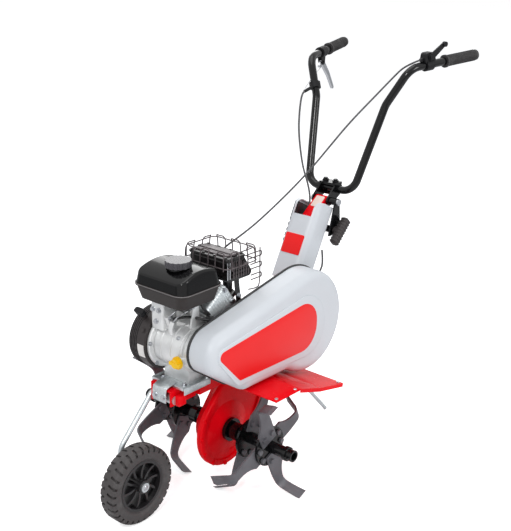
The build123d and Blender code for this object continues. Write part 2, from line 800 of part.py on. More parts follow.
column_outer = column_form(0)
column_inner = column_form(column_wall)
for node, front in (("column_front_cover", True), ("column_rear_cover", False)):
    with BuildPart() as half_cover:
        add(column_outer)
        add(column_inner, mode=Mode.SUBTRACT)
        with BuildSketch(column_plane.offset(column_length - notch_depth)):
            Rectangle(notch_width, 2 * column_depth)
        extrude(amount=2 * notch_depth, mode=Mode.SUBTRACT)
        parting = Plane(column_plane.origin, z_dir=column_plane.y_dir)
        split(bisect_by=parting, keep=Keep.TOP if front else Keep.BOTTOM)
    save(half_cover, node)

# Handlebar assembly
left = [(x, -y, z) for x, y, z in (bar_end, bar_shoulder, bar_bend)]
base = [(bar_base_x, -bar_base_half, bar_base_z), (bar_base_x, bar_base_half, bar_base_z)]
right = [bar_bend, bar_shoulder, bar_end]
corner_radii = [bar_radii[2], bar_radii[1], bar_radii[0], bar_radii[0], bar_radii[1], bar_radii[2]]
with BuildPart() as handlebar_tube:
    with BuildLine() as bar_path:
        FilletPolyline(*left, *base, *right, radius=corner_radii)
    with BuildSketch(Plane(bar_path.line @ 0, z_dir=bar_path.line % 0)):
        Circle(bar_radius)
        Circle(bar_radius - bar_wall, mode=Mode.SUBTRACT)
    sweep()
save(handlebar_tube, "handlebar_tube")

end_way = Vector(*bar_end) - Vector(*bar_shoulder)
end_way = end_way.normalized()


def bar_plane(side, back):
    point = Vector(*bar_end) - end_way * back
    return Plane(
        (point.X, side * point.Y, point.Z), x_dir=(0, 0, 1),
        z_dir=(end_way.X, side * end_way.Y, end_way.Z),
    )


with BuildPart() as handlebar_grips:
    for side in (-1, 1):
        with BuildSketch(bar_plane(side, grip_length)):
            Circle(grip_radius)
        extrude(amount=grip_length + 3)
        with BuildSketch(bar_plane(side, grip_length)):
            Circle(grip_radius + 3)
        extrude(amount=6)
        with BuildSketch(bar_plane(side, grip_length)):
            Circle(bar_radius + running_gap)
        extrude(amount=grip_length, mode=Mode.SUBTRACT)
save(handlebar_grips, "handlebar_grips")

cheek_y = 22
cheek_thickness = 5
sector_y = column_width / 2 + 3
with BuildPart() as bar_clamp:
    for side in (-1, 1):
        ends = sorted((side * cheek_y, side * (cheek_y + cheek_thickness)))
        extrude(
            two_circle_hull(ends[1], (pivot_x, pivot_z), 14, (bar_base_x, bar_base_z), 19),
            amount=cheek_thickness,
        )
    outer = cheek_y + cheek_thickness
    block((bar_base_x - 17, -outer, bar_base_z + bar_radius + 1),
          (bar_base_x + 17, outer, bar_base_z + bar_radius + 8))
    block((bar_base_x - 10, -cheek_y, bar_base_z - bar_radius - 6),
          (bar_base_x + 14, cheek_y, bar_base_z - bar_radius - 0.1))
    for side in (-1, 1):
        with Locations((bar_base_x, side * 17, bar_base_z + bar_radius + 8)):
            Cylinder(9, 5, align=(Align.CENTER, Align.CENTER, Align.MIN))
            Cylinder(6, 9, align=(Align.CENTER, Align.CENTER, Align.MIN))
    lateral_rod(pivot_x, pivot_z, 10, -cheek_y, -sector_y - 5)
    with BuildSketch(side_plane(-sector_y)):
        with BuildLine():
            Polyline(
                (pivot_x - 10, pivot_z), (pivot_x + 10, pivot_z),
                (pivot_x + 16, pivot_z - sector_radius - 12), (pivot_x - 34, pivot_z - sector_radius - 12),
                (pivot_x - 10, pivot_z),
            )
        make_face()
        with Locations((pivot_x, pivot_z)):
            with PolarLocations(sector_radius, 9, start_angle=degrees(stud_angle) - sector_half_angle,
                                angular_range=2 * sector_half_angle, endpoint=True):
                Circle(6, mode=Mode.SUBTRACT)
    extrude(amount=5)
    lateral_rod(pivot_x, pivot_z, pivot_bolt_radius + running_gap, 99, -99, Mode.SUBTRACT)
    lateral_rod(bar_base_x, bar_base_z, bar_radius + running_gap, 99, -99, Mode.SUBTRACT)
save(bar_clamp, "bar_clamp")

with BuildPart() as pivot_bolt:
    lateral_rod(pivot_x, pivot_z, pivot_bolt_radius, cheek_y + cheek_thickness + 1, -sector_y - 6)
    lateral_rod(pivot_x, pivot_z, 9, cheek_y + cheek_thickness + 7, cheek_y + cheek_thickness + moving_gap)
    lateral_rod(pivot_x, pivot_z, 9, -sector_y - 5 - moving_gap, -sector_y - 11)
save(pivot_bolt, "pivot_bolt")

knob_y = -sector_y - 5 - 1
with BuildPart() as knob_bar:
    Box(84, 22, 26)
    fillet(knob_bar.edges(), 8)

with BuildPart() as clamp_knob:
    lateral_rod(stud_x, stud_z, stud_radius, -8, knob_y)
    lateral_rod(stud_x, stud_z, 11, knob_y + moving_gap, knob_y - 12)
    add(knob_bar.part.moved(Location((stud_x, knob_y - 17, stud_z), (0, -45, 0))))
save(clamp_knob, "clamp_knob")

# Hand controls on the bar
throttle_back = 181
clutch_back = 167
throttle_plane = bar_plane(-1, throttle_back)
clutch_plane = bar_plane(1, clutch_back)
throttle_side = Plane(throttle_plane.origin, x_dir=throttle_plane.z_dir, z_dir=throttle_plane.y_dir)
clutch_side = Plane(clutch_plane.origin, x_dir=clutch_plane.z_dir, z_dir=clutch_plane.y_dir)


def hull_on(plane, *circles):
    with BuildSketch(plane) as profile:
        for x, y, radius in circles:
            with Locations((x, y)):
                Circle(radius)
        make_hull()
    return profile.sketch


def collar(plane, radius, length):
    with BuildSketch(plane.offset(-length / 2)) as ring:
        Circle(radius)
    extrude(ring.sketch, amount=length)


def bar_bore(plane, length):
    with BuildSketch(plane.offset(-length / 2)) as ring:
        Circle(bar_radius + running_gap)
    extrude(ring.sketch, amount=length, mode=Mode.SUBTRACT)


throttle_pivot = (0, 22)
throttle_tip = (48, 50)
throttle_face = 11
with BuildPart() as throttle_housing:
    collar(throttle_plane, bar_radius + 5, 26)
    extrude(
        hull_on(throttle_side.offset(-throttle_face), (-10, 14, 9), (10, 14, 9), (-8, 26, 8), (8, 26, 8)),
        amount=2 * throttle_face,
    )
    extrude(hull_on(throttle_side.offset(throttle_face), (*throttle_pivot, 3)), amount=8)
    extrude(hull_on(throttle_side.offset(throttle_face + 5), (*throttle_pivot, 7)), amount=3)
    extrude(hull_on(throttle_side.offset(-4), (-14, 18, 4), (-26, 16, 4)), amount=8)
    bar_bore(throttle_plane, 80)
save(throttle_housing, "throttle_housing")

with BuildPart() as throttle_lever:
    extrude(hull_on(throttle_side.offset(throttle_face + moving_gap), (*throttle_pivot, 9), (*throttle_tip, 6)),
            amount=4.4)
    extrude(hull_on(throttle_side.offset(throttle_face + moving_gap), (*throttle_tip, 7)), amount=9)
    extrude(hull_on(throttle_side, (*throttle_pivot, 3 + running_gap)), amount=99, mode=Mode.SUBTRACT)
save(throttle_lever, "throttle_lever")

clutch_pivot = (0, -28)
clutch_tip = (76, -120)
lug_gap = 4
stop_point = Vector(*bar_bend) + (Vector(*bar_shoulder) - Vector(*bar_bend)) * 0.26
stop_way = (Vector(*bar_shoulder) - Vector(*bar_bend)).normalized()
stop_plane = Plane(stop_point, x_dir=(1, 0, 0), z_dir=stop_way)
cable_start = Vector(274, 118, 950)
with BuildPart() as clutch_bracket:
    collar(clutch_plane, bar_radius + 5, 28)
    for shift in (-lug_gap - 3, lug_gap):
        extrude(
            hull_on(clutch_side.offset(shift), (-8, -10, 6), (8, -10, 6), (*clutch_pivot, 9)), amount=3
        )
    extrude(hull_on(clutch_side.offset(-lug_gap - 6), (*clutch_pivot, 3)), amount=2 * lug_gap + 12)
    bar_bore(clutch_plane, 80)
    collar(stop_plane, bar_radius + 5, 18)
    stop_arm = Vector(*(cable_start - stop_point)).normalized()
    with BuildSketch(Plane(stop_point + stop_arm * (bar_radius + 2), z_dir=stop_arm)) as stop_rod:
        Circle(4.5)
    extrude(stop_rod.sketch, amount=(cable_start - stop_point).length - bar_radius - 2)
    bar_bore(stop_plane, 60)
save(clutch_bracket, "clutch_bracket")

with BuildPart() as clutch_lever:
    lever_low = clutch_side.offset(-lug_gap + moving_gap)
    lever_width = 2 * (lug_gap - moving_gap)
    extrude(hull_on(lever_low, (*clutch_pivot, 9), (44, -74, 7)), amount=lever_width)
    extrude(hull_on(lever_low, (44, -74, 7), (*clutch_tip, 5)), amount=lever_width)
    extrude(hull_on(lever_low, (*clutch_pivot, 8), (-15, -38, 5)), amount=lever_width)
    extrude(hull_on(clutch_side.offset(-20), (*clutch_pivot, 3 + running_gap)), amount=40, mode=Mode.SUBTRACT)
save(clutch_lever, "clutch_lever")


# Control cables
def route_radii(points):
    radii = []
    for before, here, after in zip(points, points[1:], points[2:]):
        first = Vector(*here) - Vector(*before)
        second = Vector(*after) - Vector(*here)
        half_turn = radians(first.get_angle(second)) / 2
        radii.append(0.45 * min(first.length, second.length) * cos(half_turn) / sin(half_turn))
    return radii


def cable(points, radius):
    radii = route_radii(points)
    print("cable radii", [round(value, 1) for value in radii])
    with BuildPart() as run:
        with BuildLine() as path:
            FilletPolyline(*points, radius=radii)
        with BuildSketch(Plane(path.line @ 0, z_dir=path.line % 0)):
            Circle(radius)
        sweep()
    print("cable length", round(sum(edge.length for edge in path.edges()), 1))
    return run.part


throttle_nose = throttle_plane.origin + throttle_plane.x_dir * 16
throttle_start = throttle_nose - throttle_plane.z_dir * (30 + moving_gap)
throttle_second = throttle_nose - throttle_plane.z_dir * 42
throttle_route = (
    tuple(throttle_start), tuple(throttle_second), (368, -141, 1031), (353, -126, 1010), (287, -107, 958),
    (212, -85, 899), (156, -63, 840), (101, -42, 782), (25, -20, 722), (-57, 2, 666), (-102, 23, 634),
    (-145, 45, 606), (-162, 56, 570), (-200, 63, 542), (-227, 66, 519.5),
)
clutch_cable_radius = 2.7
tube_entry_y = (arm_width / 2 + column_tube_width / 2 - 3) / 2
clutch_route = (
    tuple(cable_start + stop_arm * moving_gap), tuple(cable_start + stop_arm * 16),
    (243, 110, 906), (225, 98, 856), (216, 84, 803), (211, 68, 749), (202, 40, 706), (190, 23, 667),
    (178, tube_entry_y, 640), (166, tube_entry_y, 615),
)
tail_end_y = plate_right_y + clutch_cable_radius + moving_gap
clutch_tail = ((169, -38, 542), (146, -60, 518), (118, -73, 503), (80, tail_end_y, 478))
with BuildPart() as throttle_cable:
    add(cable(throttle_route, 2.5))
save(throttle_cable, "throttle_cable")

with BuildPart() as clutch_cable:
    add(cable(clutch_route, clutch_cable_radius))
    add(cable(clutch_tail, clutch_cable_radius))
save(clutch_cable, "clutch_cable")

# Rear spur and its holder
spur_way = Vector(spur_end_x - spur_top_x, 0, spur_end_z - spur_top_z).normalized()
spur_plane = Plane((spur_top_x, 0, spur_top_z), x_dir=(0, 1, 0), z_dir=spur_way)
spur_length = hypot(spur_end_x - spur_top_x, spur_end_z - spur_top_z)
holder_top = 22
holder_length = 50
spur_start = 20
with BuildPart() as spur_holder:
    outer_y = side_plate_y + side_plate_thickness
    block((5, -outer_y, rail_bottom_z - 6), (rail_rear_x, outer_y, rail_bottom_z))
    with BuildSketch(spur_plane.offset(holder_top)):
        Circle(12)
    extrude(amount=holder_length)
    with BuildSketch(spur_plane):
        Circle(spur_radius + running_gap)
    extrude(amount=200, mode=Mode.SUBTRACT)
save(spur_holder, "spur_holder")

with BuildPart() as spur:
    with BuildSketch(spur_plane.offset(spur_start)):
        Circle(spur_radius)
    extrude(amount=spur_length - spur_start)
save(spur, "spur")

# Engine, with the crank across the machine and the cylinder leaning back
lean = radians(cylinder_lean)
lean_way = (cos(lean), 0, sin(lean))
lean_plane = Plane((crank_x, cylinder_y, crank_z), x_dir=(0, 1, 0), z_dir=lean_way)
deck_reach = barrel_radius + 6
foot_half_y = 42
foot_front_x = crank_x - 14
base_front_x = crank_x - 44
base_half_y = 54
with BuildPart() as engine_base_plate:
    block((base_front_x, -base_half_y, rail_top_z), (crank_x + 84, base_half_y, base_plate_z))
    with Locations(*base_bolts):
        Cylinder(screw_radius + bolt_gap, 2 * base_plate_z, mode=Mode.SUBTRACT)
save(engine_base_plate, "engine_base_plate")

post_front = (crank_x - 54, crank_x - 4)
plug_y = -56
plug_z = 408
plug_flange_radius = 16
plug_wing = (9, 32, 8)
plug_boss_radius = 11
plug_stem_radius = 7
post_round = 8
post_wall = 4
crankcase_wall = 6
with BuildPart() as crankcase:
    lateral_rod(crank_x, crank_z, barrel_radius, barrel_right_y, barrel_left_y)
    block((foot_front_x, -foot_half_y, base_plate_z), (crank_x + 48, foot_half_y, crank_z - 30))
    lateral_rod(crank_x, crank_z, 50, barrel_left_y, plate_right_y)
    lateral_rod(crank_x, crank_z, 62, barrel_right_y, barrel_right_y - 7)
    with BuildSketch(lean_plane):
        Rectangle(84, 84)
    extrude(amount=deck_reach)
    with BuildSketch(Plane.XY.offset(crank_z + barrel_radius - 7)):
        with Locations((sum(post_front) / 2, (barrel_right_y + 2) / 2)):
            RectangleRounded(post_front[1] - post_front[0], barrel_right_y - 2, post_round)
    extrude(amount=tank_bottom_z - crank_z - barrel_radius + 7)
    block((crank_x + 2, -52, crank_z + 30), (crank_x + 16, -34, tank_bottom_z))
    with Locations((crank_x - 47, plug_y, plug_z)):
        Cylinder(plug_boss_radius, 30, rotation=(0, 90, 0))
    lateral_rod(
        crank_x, crank_z, barrel_radius - crankcase_wall, barrel_right_y - crankcase_wall,
        barrel_left_y + crankcase_wall, Mode.SUBTRACT,
    )
    lateral_rod(crank_x, crank_z, 40, barrel_left_y - 6, plate_right_y, Mode.SUBTRACT)
    with BuildSketch(lean_plane):
        Circle(27)
    extrude(amount=deck_reach + 1, mode=Mode.SUBTRACT)
    block(
        (foot_front_x + crankcase_wall, -foot_half_y + crankcase_wall, base_plate_z),
        (crank_x + 40, foot_half_y - crankcase_wall, crank_z - 60), Mode.SUBTRACT,
    )
    block(
        (post_front[0] + post_wall, 2 + post_wall, crank_z + barrel_radius + 11),
        (post_front[1] - post_wall, barrel_right_y - post_wall, tank_bottom_z - post_wall), Mode.SUBTRACT,
    )
    lateral_rod(crank_x, crank_z, crank_radius + running_gap, 99, -99, Mode.SUBTRACT)
    with Locations((crank_x - 47, plug_y, plug_z)):
        Cylinder(plug_stem_radius + moving_gap, 40, rotation=(0, 90, 0), mode=Mode.SUBTRACT)
save(crankcase, "crankcase")

plug_face_x = crank_x - 62
with BuildPart() as oil_plug:
    with Locations((plug_face_x, plug_y, plug_z)):
        Cylinder(plug_stem_radius, 18, rotation=(0, 90, 0), align=(Align.CENTER, Align.CENTER, Align.MIN))
        Cylinder(plug_flange_radius, 5, rotation=(0, -90, 0), align=(Align.CENTER, Align.CENTER, Align.MIN))
        Cylinder(plug_boss_radius, 14, rotation=(0, -90, 0), align=(Align.CENTER, Align.CENTER, Align.MIN))
    with Locations((plug_face_x - 11, plug_y, plug_z)):
        Box(*plug_wing)
save(oil_plug, "oil_plug")

fin_pitch = 9
fin_count = 8
head_start = 134
head_end = 165
with BuildPart() as cylinder:
    with BuildSketch(lean_plane.offset(deck_reach)):
        Circle(34)
    extrude(amount=head_start - deck_reach)
    for index in range(fin_count):
        with BuildSketch(lean_plane.offset(deck_reach + 3 + index * fin_pitch)):
            RectangleRounded(88, 84, 12)
        extrude(amount=3)
    with BuildSketch(lean_plane.offset(head_start)):
        RectangleRounded(90, 76, 10)
    extrude(amount=head_end - head_start)
    with BuildSketch(lean_plane.offset(deck_reach)):
        Circle(27)
    extrude(amount=head_start - deck_reach - 4, mode=Mode.SUBTRACT)
save(cylinder, "cylinder")

port = (-228, 497)
port_radius = 9
shroud_start = 64
shroud_end = 162
shroud_left = -62 - cylinder_y
shroud_right = barrel_right_y - 0.5 - cylinder_y
shroud_wall = 2.5
with BuildPart() as cylinder_shroud:
    with BuildSketch(lean_plane.offset(shroud_start)):
        with Locations(((shroud_left + shroud_right) / 2, -14)):
            RectangleRounded(shroud_right - shroud_left, 74, 8)
            RectangleRounded(shroud_right - shroud_left - 2 * shroud_wall, 74 - 2 * shroud_wall,
                             8 - shroud_wall, mode=Mode.SUBTRACT)
        with Locations(((shroud_left + shroud_right) / 2, 30)):
            Rectangle(200, 60, mode=Mode.SUBTRACT)
    extrude(amount=shroud_end - shroud_start)
    lateral_rod(*port, port_radius + 1, barrel_right_y + 9, barrel_right_y - 9, Mode.SUBTRACT)
save(cylinder_shroud, "cylinder_shroud")

rope_way = (-0.6, 0, 0.8)
rope_y = (barrel_right_y + fan_right_y) / 2 + 4
rope_plane = Plane((crank_x, rope_y, crank_z), x_dir=(0, 1, 0), z_dir=rope_way)
with BuildPart() as fan_housing:
    lateral_rod(crank_x, crank_z, fan_radius, fan_right_y, barrel_right_y)
    with BuildSketch(rope_plane.offset(fan_radius - 6)):
        Circle(8)
    extrude(amount=16)
    lateral_rod(crank_x, crank_z, fan_radius - 3, fan_right_y + 1, barrel_right_y + 3, Mode.SUBTRACT)
    lateral_rod(crank_x, crank_z, crank_radius + 3, 99, 0, Mode.SUBTRACT)
    with BuildSketch(rope_plane.offset(fan_radius - 12)):
        Circle(4)
    extrude(amount=40, mode=Mode.SUBTRACT)
save(fan_housing, "fan_housing")

recoil_y = fan_right_y + 26
recoil_vent_reach = 37
recoil_vent_radius = 4.5
with BuildPart() as recoil_cover:
    lateral_rod(crank_x, crank_z, fan_radius, fan_right_y + 4, fan_right_y)
    with BuildSketch(side_plane(fan_right_y + 4)):
        with Locations(crank_axis):
            Circle(62)
    with BuildSketch(side_plane(recoil_y)):
        with Locations(crank_axis):
            Circle(50)
    loft()
    lateral_rod(crank_x, crank_z, 28, recoil_y + 12, recoil_y)
    lateral_rod(crank_x, crank_z, 46, recoil_y - 3, fan_right_y, Mode.SUBTRACT)
    for index in range(12):
        turn = radians(30 * index)
        vent_x = crank_x + recoil_vent_reach * cos(turn)
        vent_z = crank_z + recoil_vent_reach * sin(turn)
        lateral_rod(vent_x, vent_z, recoil_vent_radius, recoil_y + 1, fan_right_y, Mode.SUBTRACT)
save(recoil_cover, "recoil_cover")

grip_start = fan_radius + 10.5
with BuildPart() as starter_grip:
    with BuildSketch(rope_plane.offset(grip_start)):
        Circle(7)
    extrude(amount=10)
    with BuildSketch(rope_plane.offset(grip_start + 6)):
        RectangleRounded(30, 15, 6)
    extrude(amount=14)
save(starter_grip, "starter_grip")

tank_wall = 3
tank_corner = 22
tank_lip = 4
neck_radius = 24
neck_sink = 12
neck_stand = 8
tank_centre = ((tank_front_x + tank_rear_x) / 2, (tank_left_y + tank_right_y) / 2)
tank_size = (tank_rear_x - tank_front_x, tank_right_y - tank_left_y)


def tank_form(inset):
    with BuildPart() as form:
        seam_size = (tank_size[0] - 2 * inset, tank_size[1] - 2 * inset)
        levels = ((tank_bottom_z + inset, tank_tub_taper), (tank_seam_z, 0))
        for z, taper in levels:
            with BuildSketch(Plane.XY.offset(z)):
                with Locations(tank_centre):
                    RectangleRounded(seam_size[0] - 2 * taper, seam_size[1] - 2 * taper, tank_corner - inset)
        loft()
        for z, taper in ((tank_seam_z, 0), (tank_top_z + tank_lip, tank_lid_taper)):
            with BuildSketch(Plane.XY.offset(z)):
                with Locations(tank_centre):
                    RectangleRounded(seam_size[0] - 2 * taper, seam_size[1] - 2 * taper, tank_corner - inset)
        loft()
        with BuildSketch(side_plane(tank_right_y + tank_lip)):
            with BuildLine():
                brow = (tank_front_x - tank_lip, tank_brow_z - inset)
                back = (tank_rear_x + tank_lip, tank_back_z - inset)
                ThreePointArc(brow, (tank_crown_x, tank_top_z - inset), back)
                Polyline(back, (back[0], tank_bottom_z), (brow[0], tank_bottom_z), brow)
            make_face()
        extrude(amount=tank_size[1] + 2 * tank_lip, mode=Mode.INTERSECT)
        fillet(form.faces().sort_by(Axis.Z)[-1].edges(), tank_lid_round - inset)
    return form.part


with BuildPart() as tank_body:
    add(tank_form(0))
    with BuildSketch(Plane.XY.offset(tank_seam_z - tank_lip / 2)):
        with Locations(tank_centre):
            RectangleRounded(*(size + 2 * tank_lip for size in tank_size), tank_corner + 2 * tank_lip)
    extrude(amount=tank_lip)
    with Locations((cap_x, cap_y, tank_top_z - neck_sink)):
        Cylinder(neck_radius, neck_sink + neck_stand, align=(Align.CENTER, Align.CENTER, Align.MIN))
    add(tank_form(tank_wall), mode=Mode.SUBTRACT)
    with Locations((cap_x, cap_y, tank_top_z)):
        Cylinder(neck_radius - 4, 30, mode=Mode.SUBTRACT)
save(tank_body, "fuel_tank")

cap_radius = 32
with BuildPart() as fuel_cap:
    with Locations((cap_x, cap_y, tank_top_z + 1)):
        Cylinder(cap_radius, 16, align=(Align.CENTER, Align.CENTER, Align.MIN))
        with PolarLocations(cap_radius + 2, 16):
            Cylinder(4, 40, mode=Mode.SUBTRACT)
    with Locations((cap_x, cap_y, tank_top_z)):
        Cylinder(neck_radius + moving_gap, neck_stand + moving_gap,
                 align=(Align.CENTER, Align.CENTER, Align.MIN), mode=Mode.SUBTRACT)
save(fuel_cap, "fuel_cap")

carb_x = port[0] - 1
carb_half = 19
carb_left_y = 50
carb_right_y = 84
throat_radius = 6
with BuildPart() as carburettor:
    lateral_rod(*port, port_radius, carb_left_y + 2, cylinder_y + 45)
    block(
        (carb_x - carb_half, carb_left_y, port[1] - carb_half),
        (carb_x + carb_half, carb_right_y, port[1] + carb_half),
    )
    with Locations((carb_x, (carb_left_y + carb_right_y) / 2, port[1] - carb_half - 8)):
        Cylinder(15, 18)
    lateral_rod(*port, throat_radius, carb_right_y + 1, cylinder_y + 40, Mode.SUBTRACT)
save(carburettor, "carburettor")

cleaner_low = (-262, carb_right_y, 455)
cleaner_high = (-172, carb_right_y + 50, 560)
cleaner_wall = 5
with BuildPart() as air_cleaner:
    block(cleaner_low, cleaner_high)
    fillet(air_cleaner.edges(), 2 * cleaner_wall)
    inner_low = [low + cleaner_wall for low in cleaner_low]
    inner_high = [high - cleaner_wall for high in cleaner_high]
    block(inner_low, inner_high, Mode.SUBTRACT)
    lateral_rod(*port, throat_radius, carb_right_y + cleaner_wall + 1, carb_right_y - 1, Mode.SUBTRACT)
save(air_cleaner, "air_cleaner")

muffler_wall = 2
muffler_round = 10


def muffler_slope_x(z):
    share = (muffler_top_z - z) / (muffler_top_z - muffler_bottom_z)
    return muffler_crown_x + share * (muffler_rear_x - muffler_crown_x)


def muffler_form(inset):
    front_x, rear_x = muffler_front_x + inset, muffler_rear_x - inset
    low_z, high_z = muffler_bottom_z + inset, muffler_top_z - inset
    with BuildPart() as form:
        with BuildSketch(side_plane(muffler_right_y - inset)) as profile:
            with BuildLine():
                Polyline(
                    (front_x, low_z), (front_x, high_z), (muffler_crown_x - inset, high_z), (rear_x, low_z),
                    close=True,
                )
            make_face()
            fillet(profile.vertices(), muffler_round - inset)
        extrude(amount=muffler_right_y - muffler_left_y - 2 * inset)
    return form.part


with BuildPart() as muffler:
    add(muffler_form(0))
    for index in range(5):
        low_z = muffler_bottom_z + 9 + index * 10
        slat_end_x = min(muffler_rear_x - 18, muffler_slope_x(low_z + 5) - 9)
        block((muffler_front_x + 18, muffler_left_y - 4, low_z), (slat_end_x, muffler_left_y, low_z + 5))
    with BuildSketch(lean_plane.offset(head_end)):
        with Locations((-22, -10)):
            Circle(14)
    extrude(amount=20)
    with Locations((-208, cylinder_y - 22, muffler_bottom_z - 20)):
        Cylinder(12, 46)
    add(muffler_form(muffler_wall), mode=Mode.SUBTRACT)
save(muffler, "muffler")

wire_stand = 14
ring_low = muffler_bottom_z + 40
ring_high = muffler_top_z + 18
wire_box = (muffler_front_x - wire_stand, muffler_rear_x + wire_stand,
            muffler_left_y - wire_stand, muffler_right_y + wire_stand)
with BuildPart() as muffler_guard:
    for z in (ring_low, ring_high):
        with BuildLine() as ring:
            FilletPolyline(
                (wire_box[0], wire_box[2], z), (wire_box[1], wire_box[2], z),
                (wire_box[1], wire_box[3], z), (wire_box[0], wire_box[3], z),
                radius=18, close=True,
            )
        with BuildSketch(Plane(ring.line @ 0, z_dir=ring.line % 0)):
            Circle(guard_wire_radius)
        sweep()
    for index in range(6):
        y = wire_box[2] + 22 + index * (wire_box[3] - wire_box[2] - 44) / 5
        for x in wire_box[:2]:
            with Locations((x, y, (ring_low + ring_high) / 2)):
                Cylinder(guard_wire_radius - 0.2, ring_high - ring_low)
    for index in range(5):
        x = wire_box[0] + 22 + index * (wire_box[1] - wire_box[0] - 44) / 4
        for y in wire_box[2:]:
            with Locations((x, y, (ring_low + ring_high) / 2)):
                Cylinder(guard_wire_radius - 0.2, ring_high - ring_low)
    for x in (wire_box[0] + 20, muffler_crown_x - 4):
        block((x, muffler_right_y, ring_low - 3), (x + 4, wire_box[3] + 1, ring_low + 3))
    strap_x = muffler_front_x + 6
    block((strap_x, wire_box[2] - 1, ring_low - 3), (strap_x + 4, muffler_left_y, ring_low + 3))
save(muffler_guard, "muffler_guard")

# Bolts that hold the frame together
with BuildPart() as frame_bolts:
    plate_face = side_plate_y + side_plate_thickness
    for side in (-1, 1):
        for x, z in (*case_bolts, column_bolt):
            add(cap_screw(screw_radius, 12).moved(Location((x, side * plate_face, z), (-90 * side, 0, 0))))
        for x, z in guard_bolts:
            head_y = side * (plate_face + guard_thickness)
            add(cap_screw(screw_radius, 12).moved(Location((x, head_y, z), (-90 * side, 0, 0))))
    for x, y in base_bolts:
        add(cap_screw(screw_radius, 14).moved(Location((x, y, base_plate_z))))
save(frame_bolts, "frame_bolts")
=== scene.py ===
import json
import math
from types import SimpleNamespace as Sizes

import bmesh
import bpy
from mathutils import Matrix, Vector

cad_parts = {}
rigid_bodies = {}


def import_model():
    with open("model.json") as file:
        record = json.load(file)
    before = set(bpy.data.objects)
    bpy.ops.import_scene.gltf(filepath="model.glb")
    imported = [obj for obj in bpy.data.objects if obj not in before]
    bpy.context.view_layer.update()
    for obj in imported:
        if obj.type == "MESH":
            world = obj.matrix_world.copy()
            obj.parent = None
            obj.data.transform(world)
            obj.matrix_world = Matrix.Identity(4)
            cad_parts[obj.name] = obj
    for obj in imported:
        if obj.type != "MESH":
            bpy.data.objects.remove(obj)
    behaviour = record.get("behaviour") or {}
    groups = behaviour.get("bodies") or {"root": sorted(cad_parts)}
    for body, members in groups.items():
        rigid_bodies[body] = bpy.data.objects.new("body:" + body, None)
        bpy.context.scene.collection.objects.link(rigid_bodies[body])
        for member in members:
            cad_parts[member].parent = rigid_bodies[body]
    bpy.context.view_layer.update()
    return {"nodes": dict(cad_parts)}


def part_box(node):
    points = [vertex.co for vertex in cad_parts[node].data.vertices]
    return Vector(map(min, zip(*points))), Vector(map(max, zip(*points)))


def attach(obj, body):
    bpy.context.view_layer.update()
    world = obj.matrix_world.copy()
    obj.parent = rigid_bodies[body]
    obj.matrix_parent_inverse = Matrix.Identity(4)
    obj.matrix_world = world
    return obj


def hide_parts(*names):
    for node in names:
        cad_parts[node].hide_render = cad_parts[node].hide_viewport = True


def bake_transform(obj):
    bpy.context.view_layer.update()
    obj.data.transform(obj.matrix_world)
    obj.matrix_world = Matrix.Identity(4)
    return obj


for leftover in list(bpy.data.objects):
    bpy.data.objects.remove(leftover)

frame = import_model()
nodes = frame["nodes"]
print("frame loaded:", len(nodes), "solids")


def tone(r, g, b):  # screen values 0 to 255 as linear light
    steps = [v / 255 for v in (r, g, b)]
    return tuple(v / 12.92 if v <= 0.04045 else ((v + 0.055) / 1.055) ** 2.4 for v in steps)


# the photographer's place, solved from the picture
cameraSetup = Sizes(
    place=(-1.8858, -1.5719, 1.3963),
    azimuth=49.16,
    pitch=19.40,
    roll=0.44,
    lens=66.16,
    sensor=36,
    far=50,
)


def makeCamera(c):
    azimuth, pitch, roll = (math.radians(v) for v in (c.azimuth, c.pitch, c.roll))
    level = Vector((math.cos(azimuth), -math.sin(azimuth), 0))
    north = Vector((math.sin(azimuth), math.cos(azimuth), 0))
    ahead = north * math.cos(pitch) - Vector((0, 0, math.sin(pitch)))
    rise = level.cross(ahead)
    right = level * math.cos(roll) + rise * math.sin(roll)
    up = rise * math.cos(roll) - level * math.sin(roll)
    lens = bpy.data.cameras.new("photoCamera")
    lens.lens = c.lens
    lens.sensor_width = c.sensor
    lens.clip_end = c.far
    holder = bpy.data.objects.new("photoCamera", lens)
    bpy.context.scene.collection.objects.link(holder)
    turn = Matrix((right, up, -ahead)).transposed().to_4x4()
    holder.matrix_world = Matrix.Translation(c.place) @ turn
    bpy.context.scene.camera = holder


makeCamera(cameraSetup)
bpy.context.scene.view_settings.view_transform = "Standard"


class Value:  # a number on a surface, with ordinary arithmetic
    def __init__(self, mat, socket):
        self.mat = mat
        self.socket = socket

    def math(self, kind, *others):
        made = self.mat.node("ShaderNodeMath", {"operation": kind}, dict(enumerate((self, *others))))
        return Value(self.mat, made.outputs[0])

    def __add__(self, other):
        return self.math("ADD", other)

    __radd__ = __add__

    def __sub__(self, other):
        return self.math("SUBTRACT", other)

    def __rsub__(self, other):
        made = self.mat.node("ShaderNodeMath", {"operation": "SUBTRACT"}, {0: other, 1: self})
        return Value(self.mat, made.outputs[0])

    def __mul__(self, other):
        return self.math("MULTIPLY", other)

    def __pow__(self, other):
        return self.math("POWER", other)

    def step(self, low, high):  # 0 below low, 1 above high, smooth between
        made = self.mat.node(
            "ShaderNodeMapRange", {"interpolation_type": "SMOOTHSTEP"},
            {"Value": self, "From Min": low, "From Max": high},
        )
        return Value(self.mat, made.outputs[0])


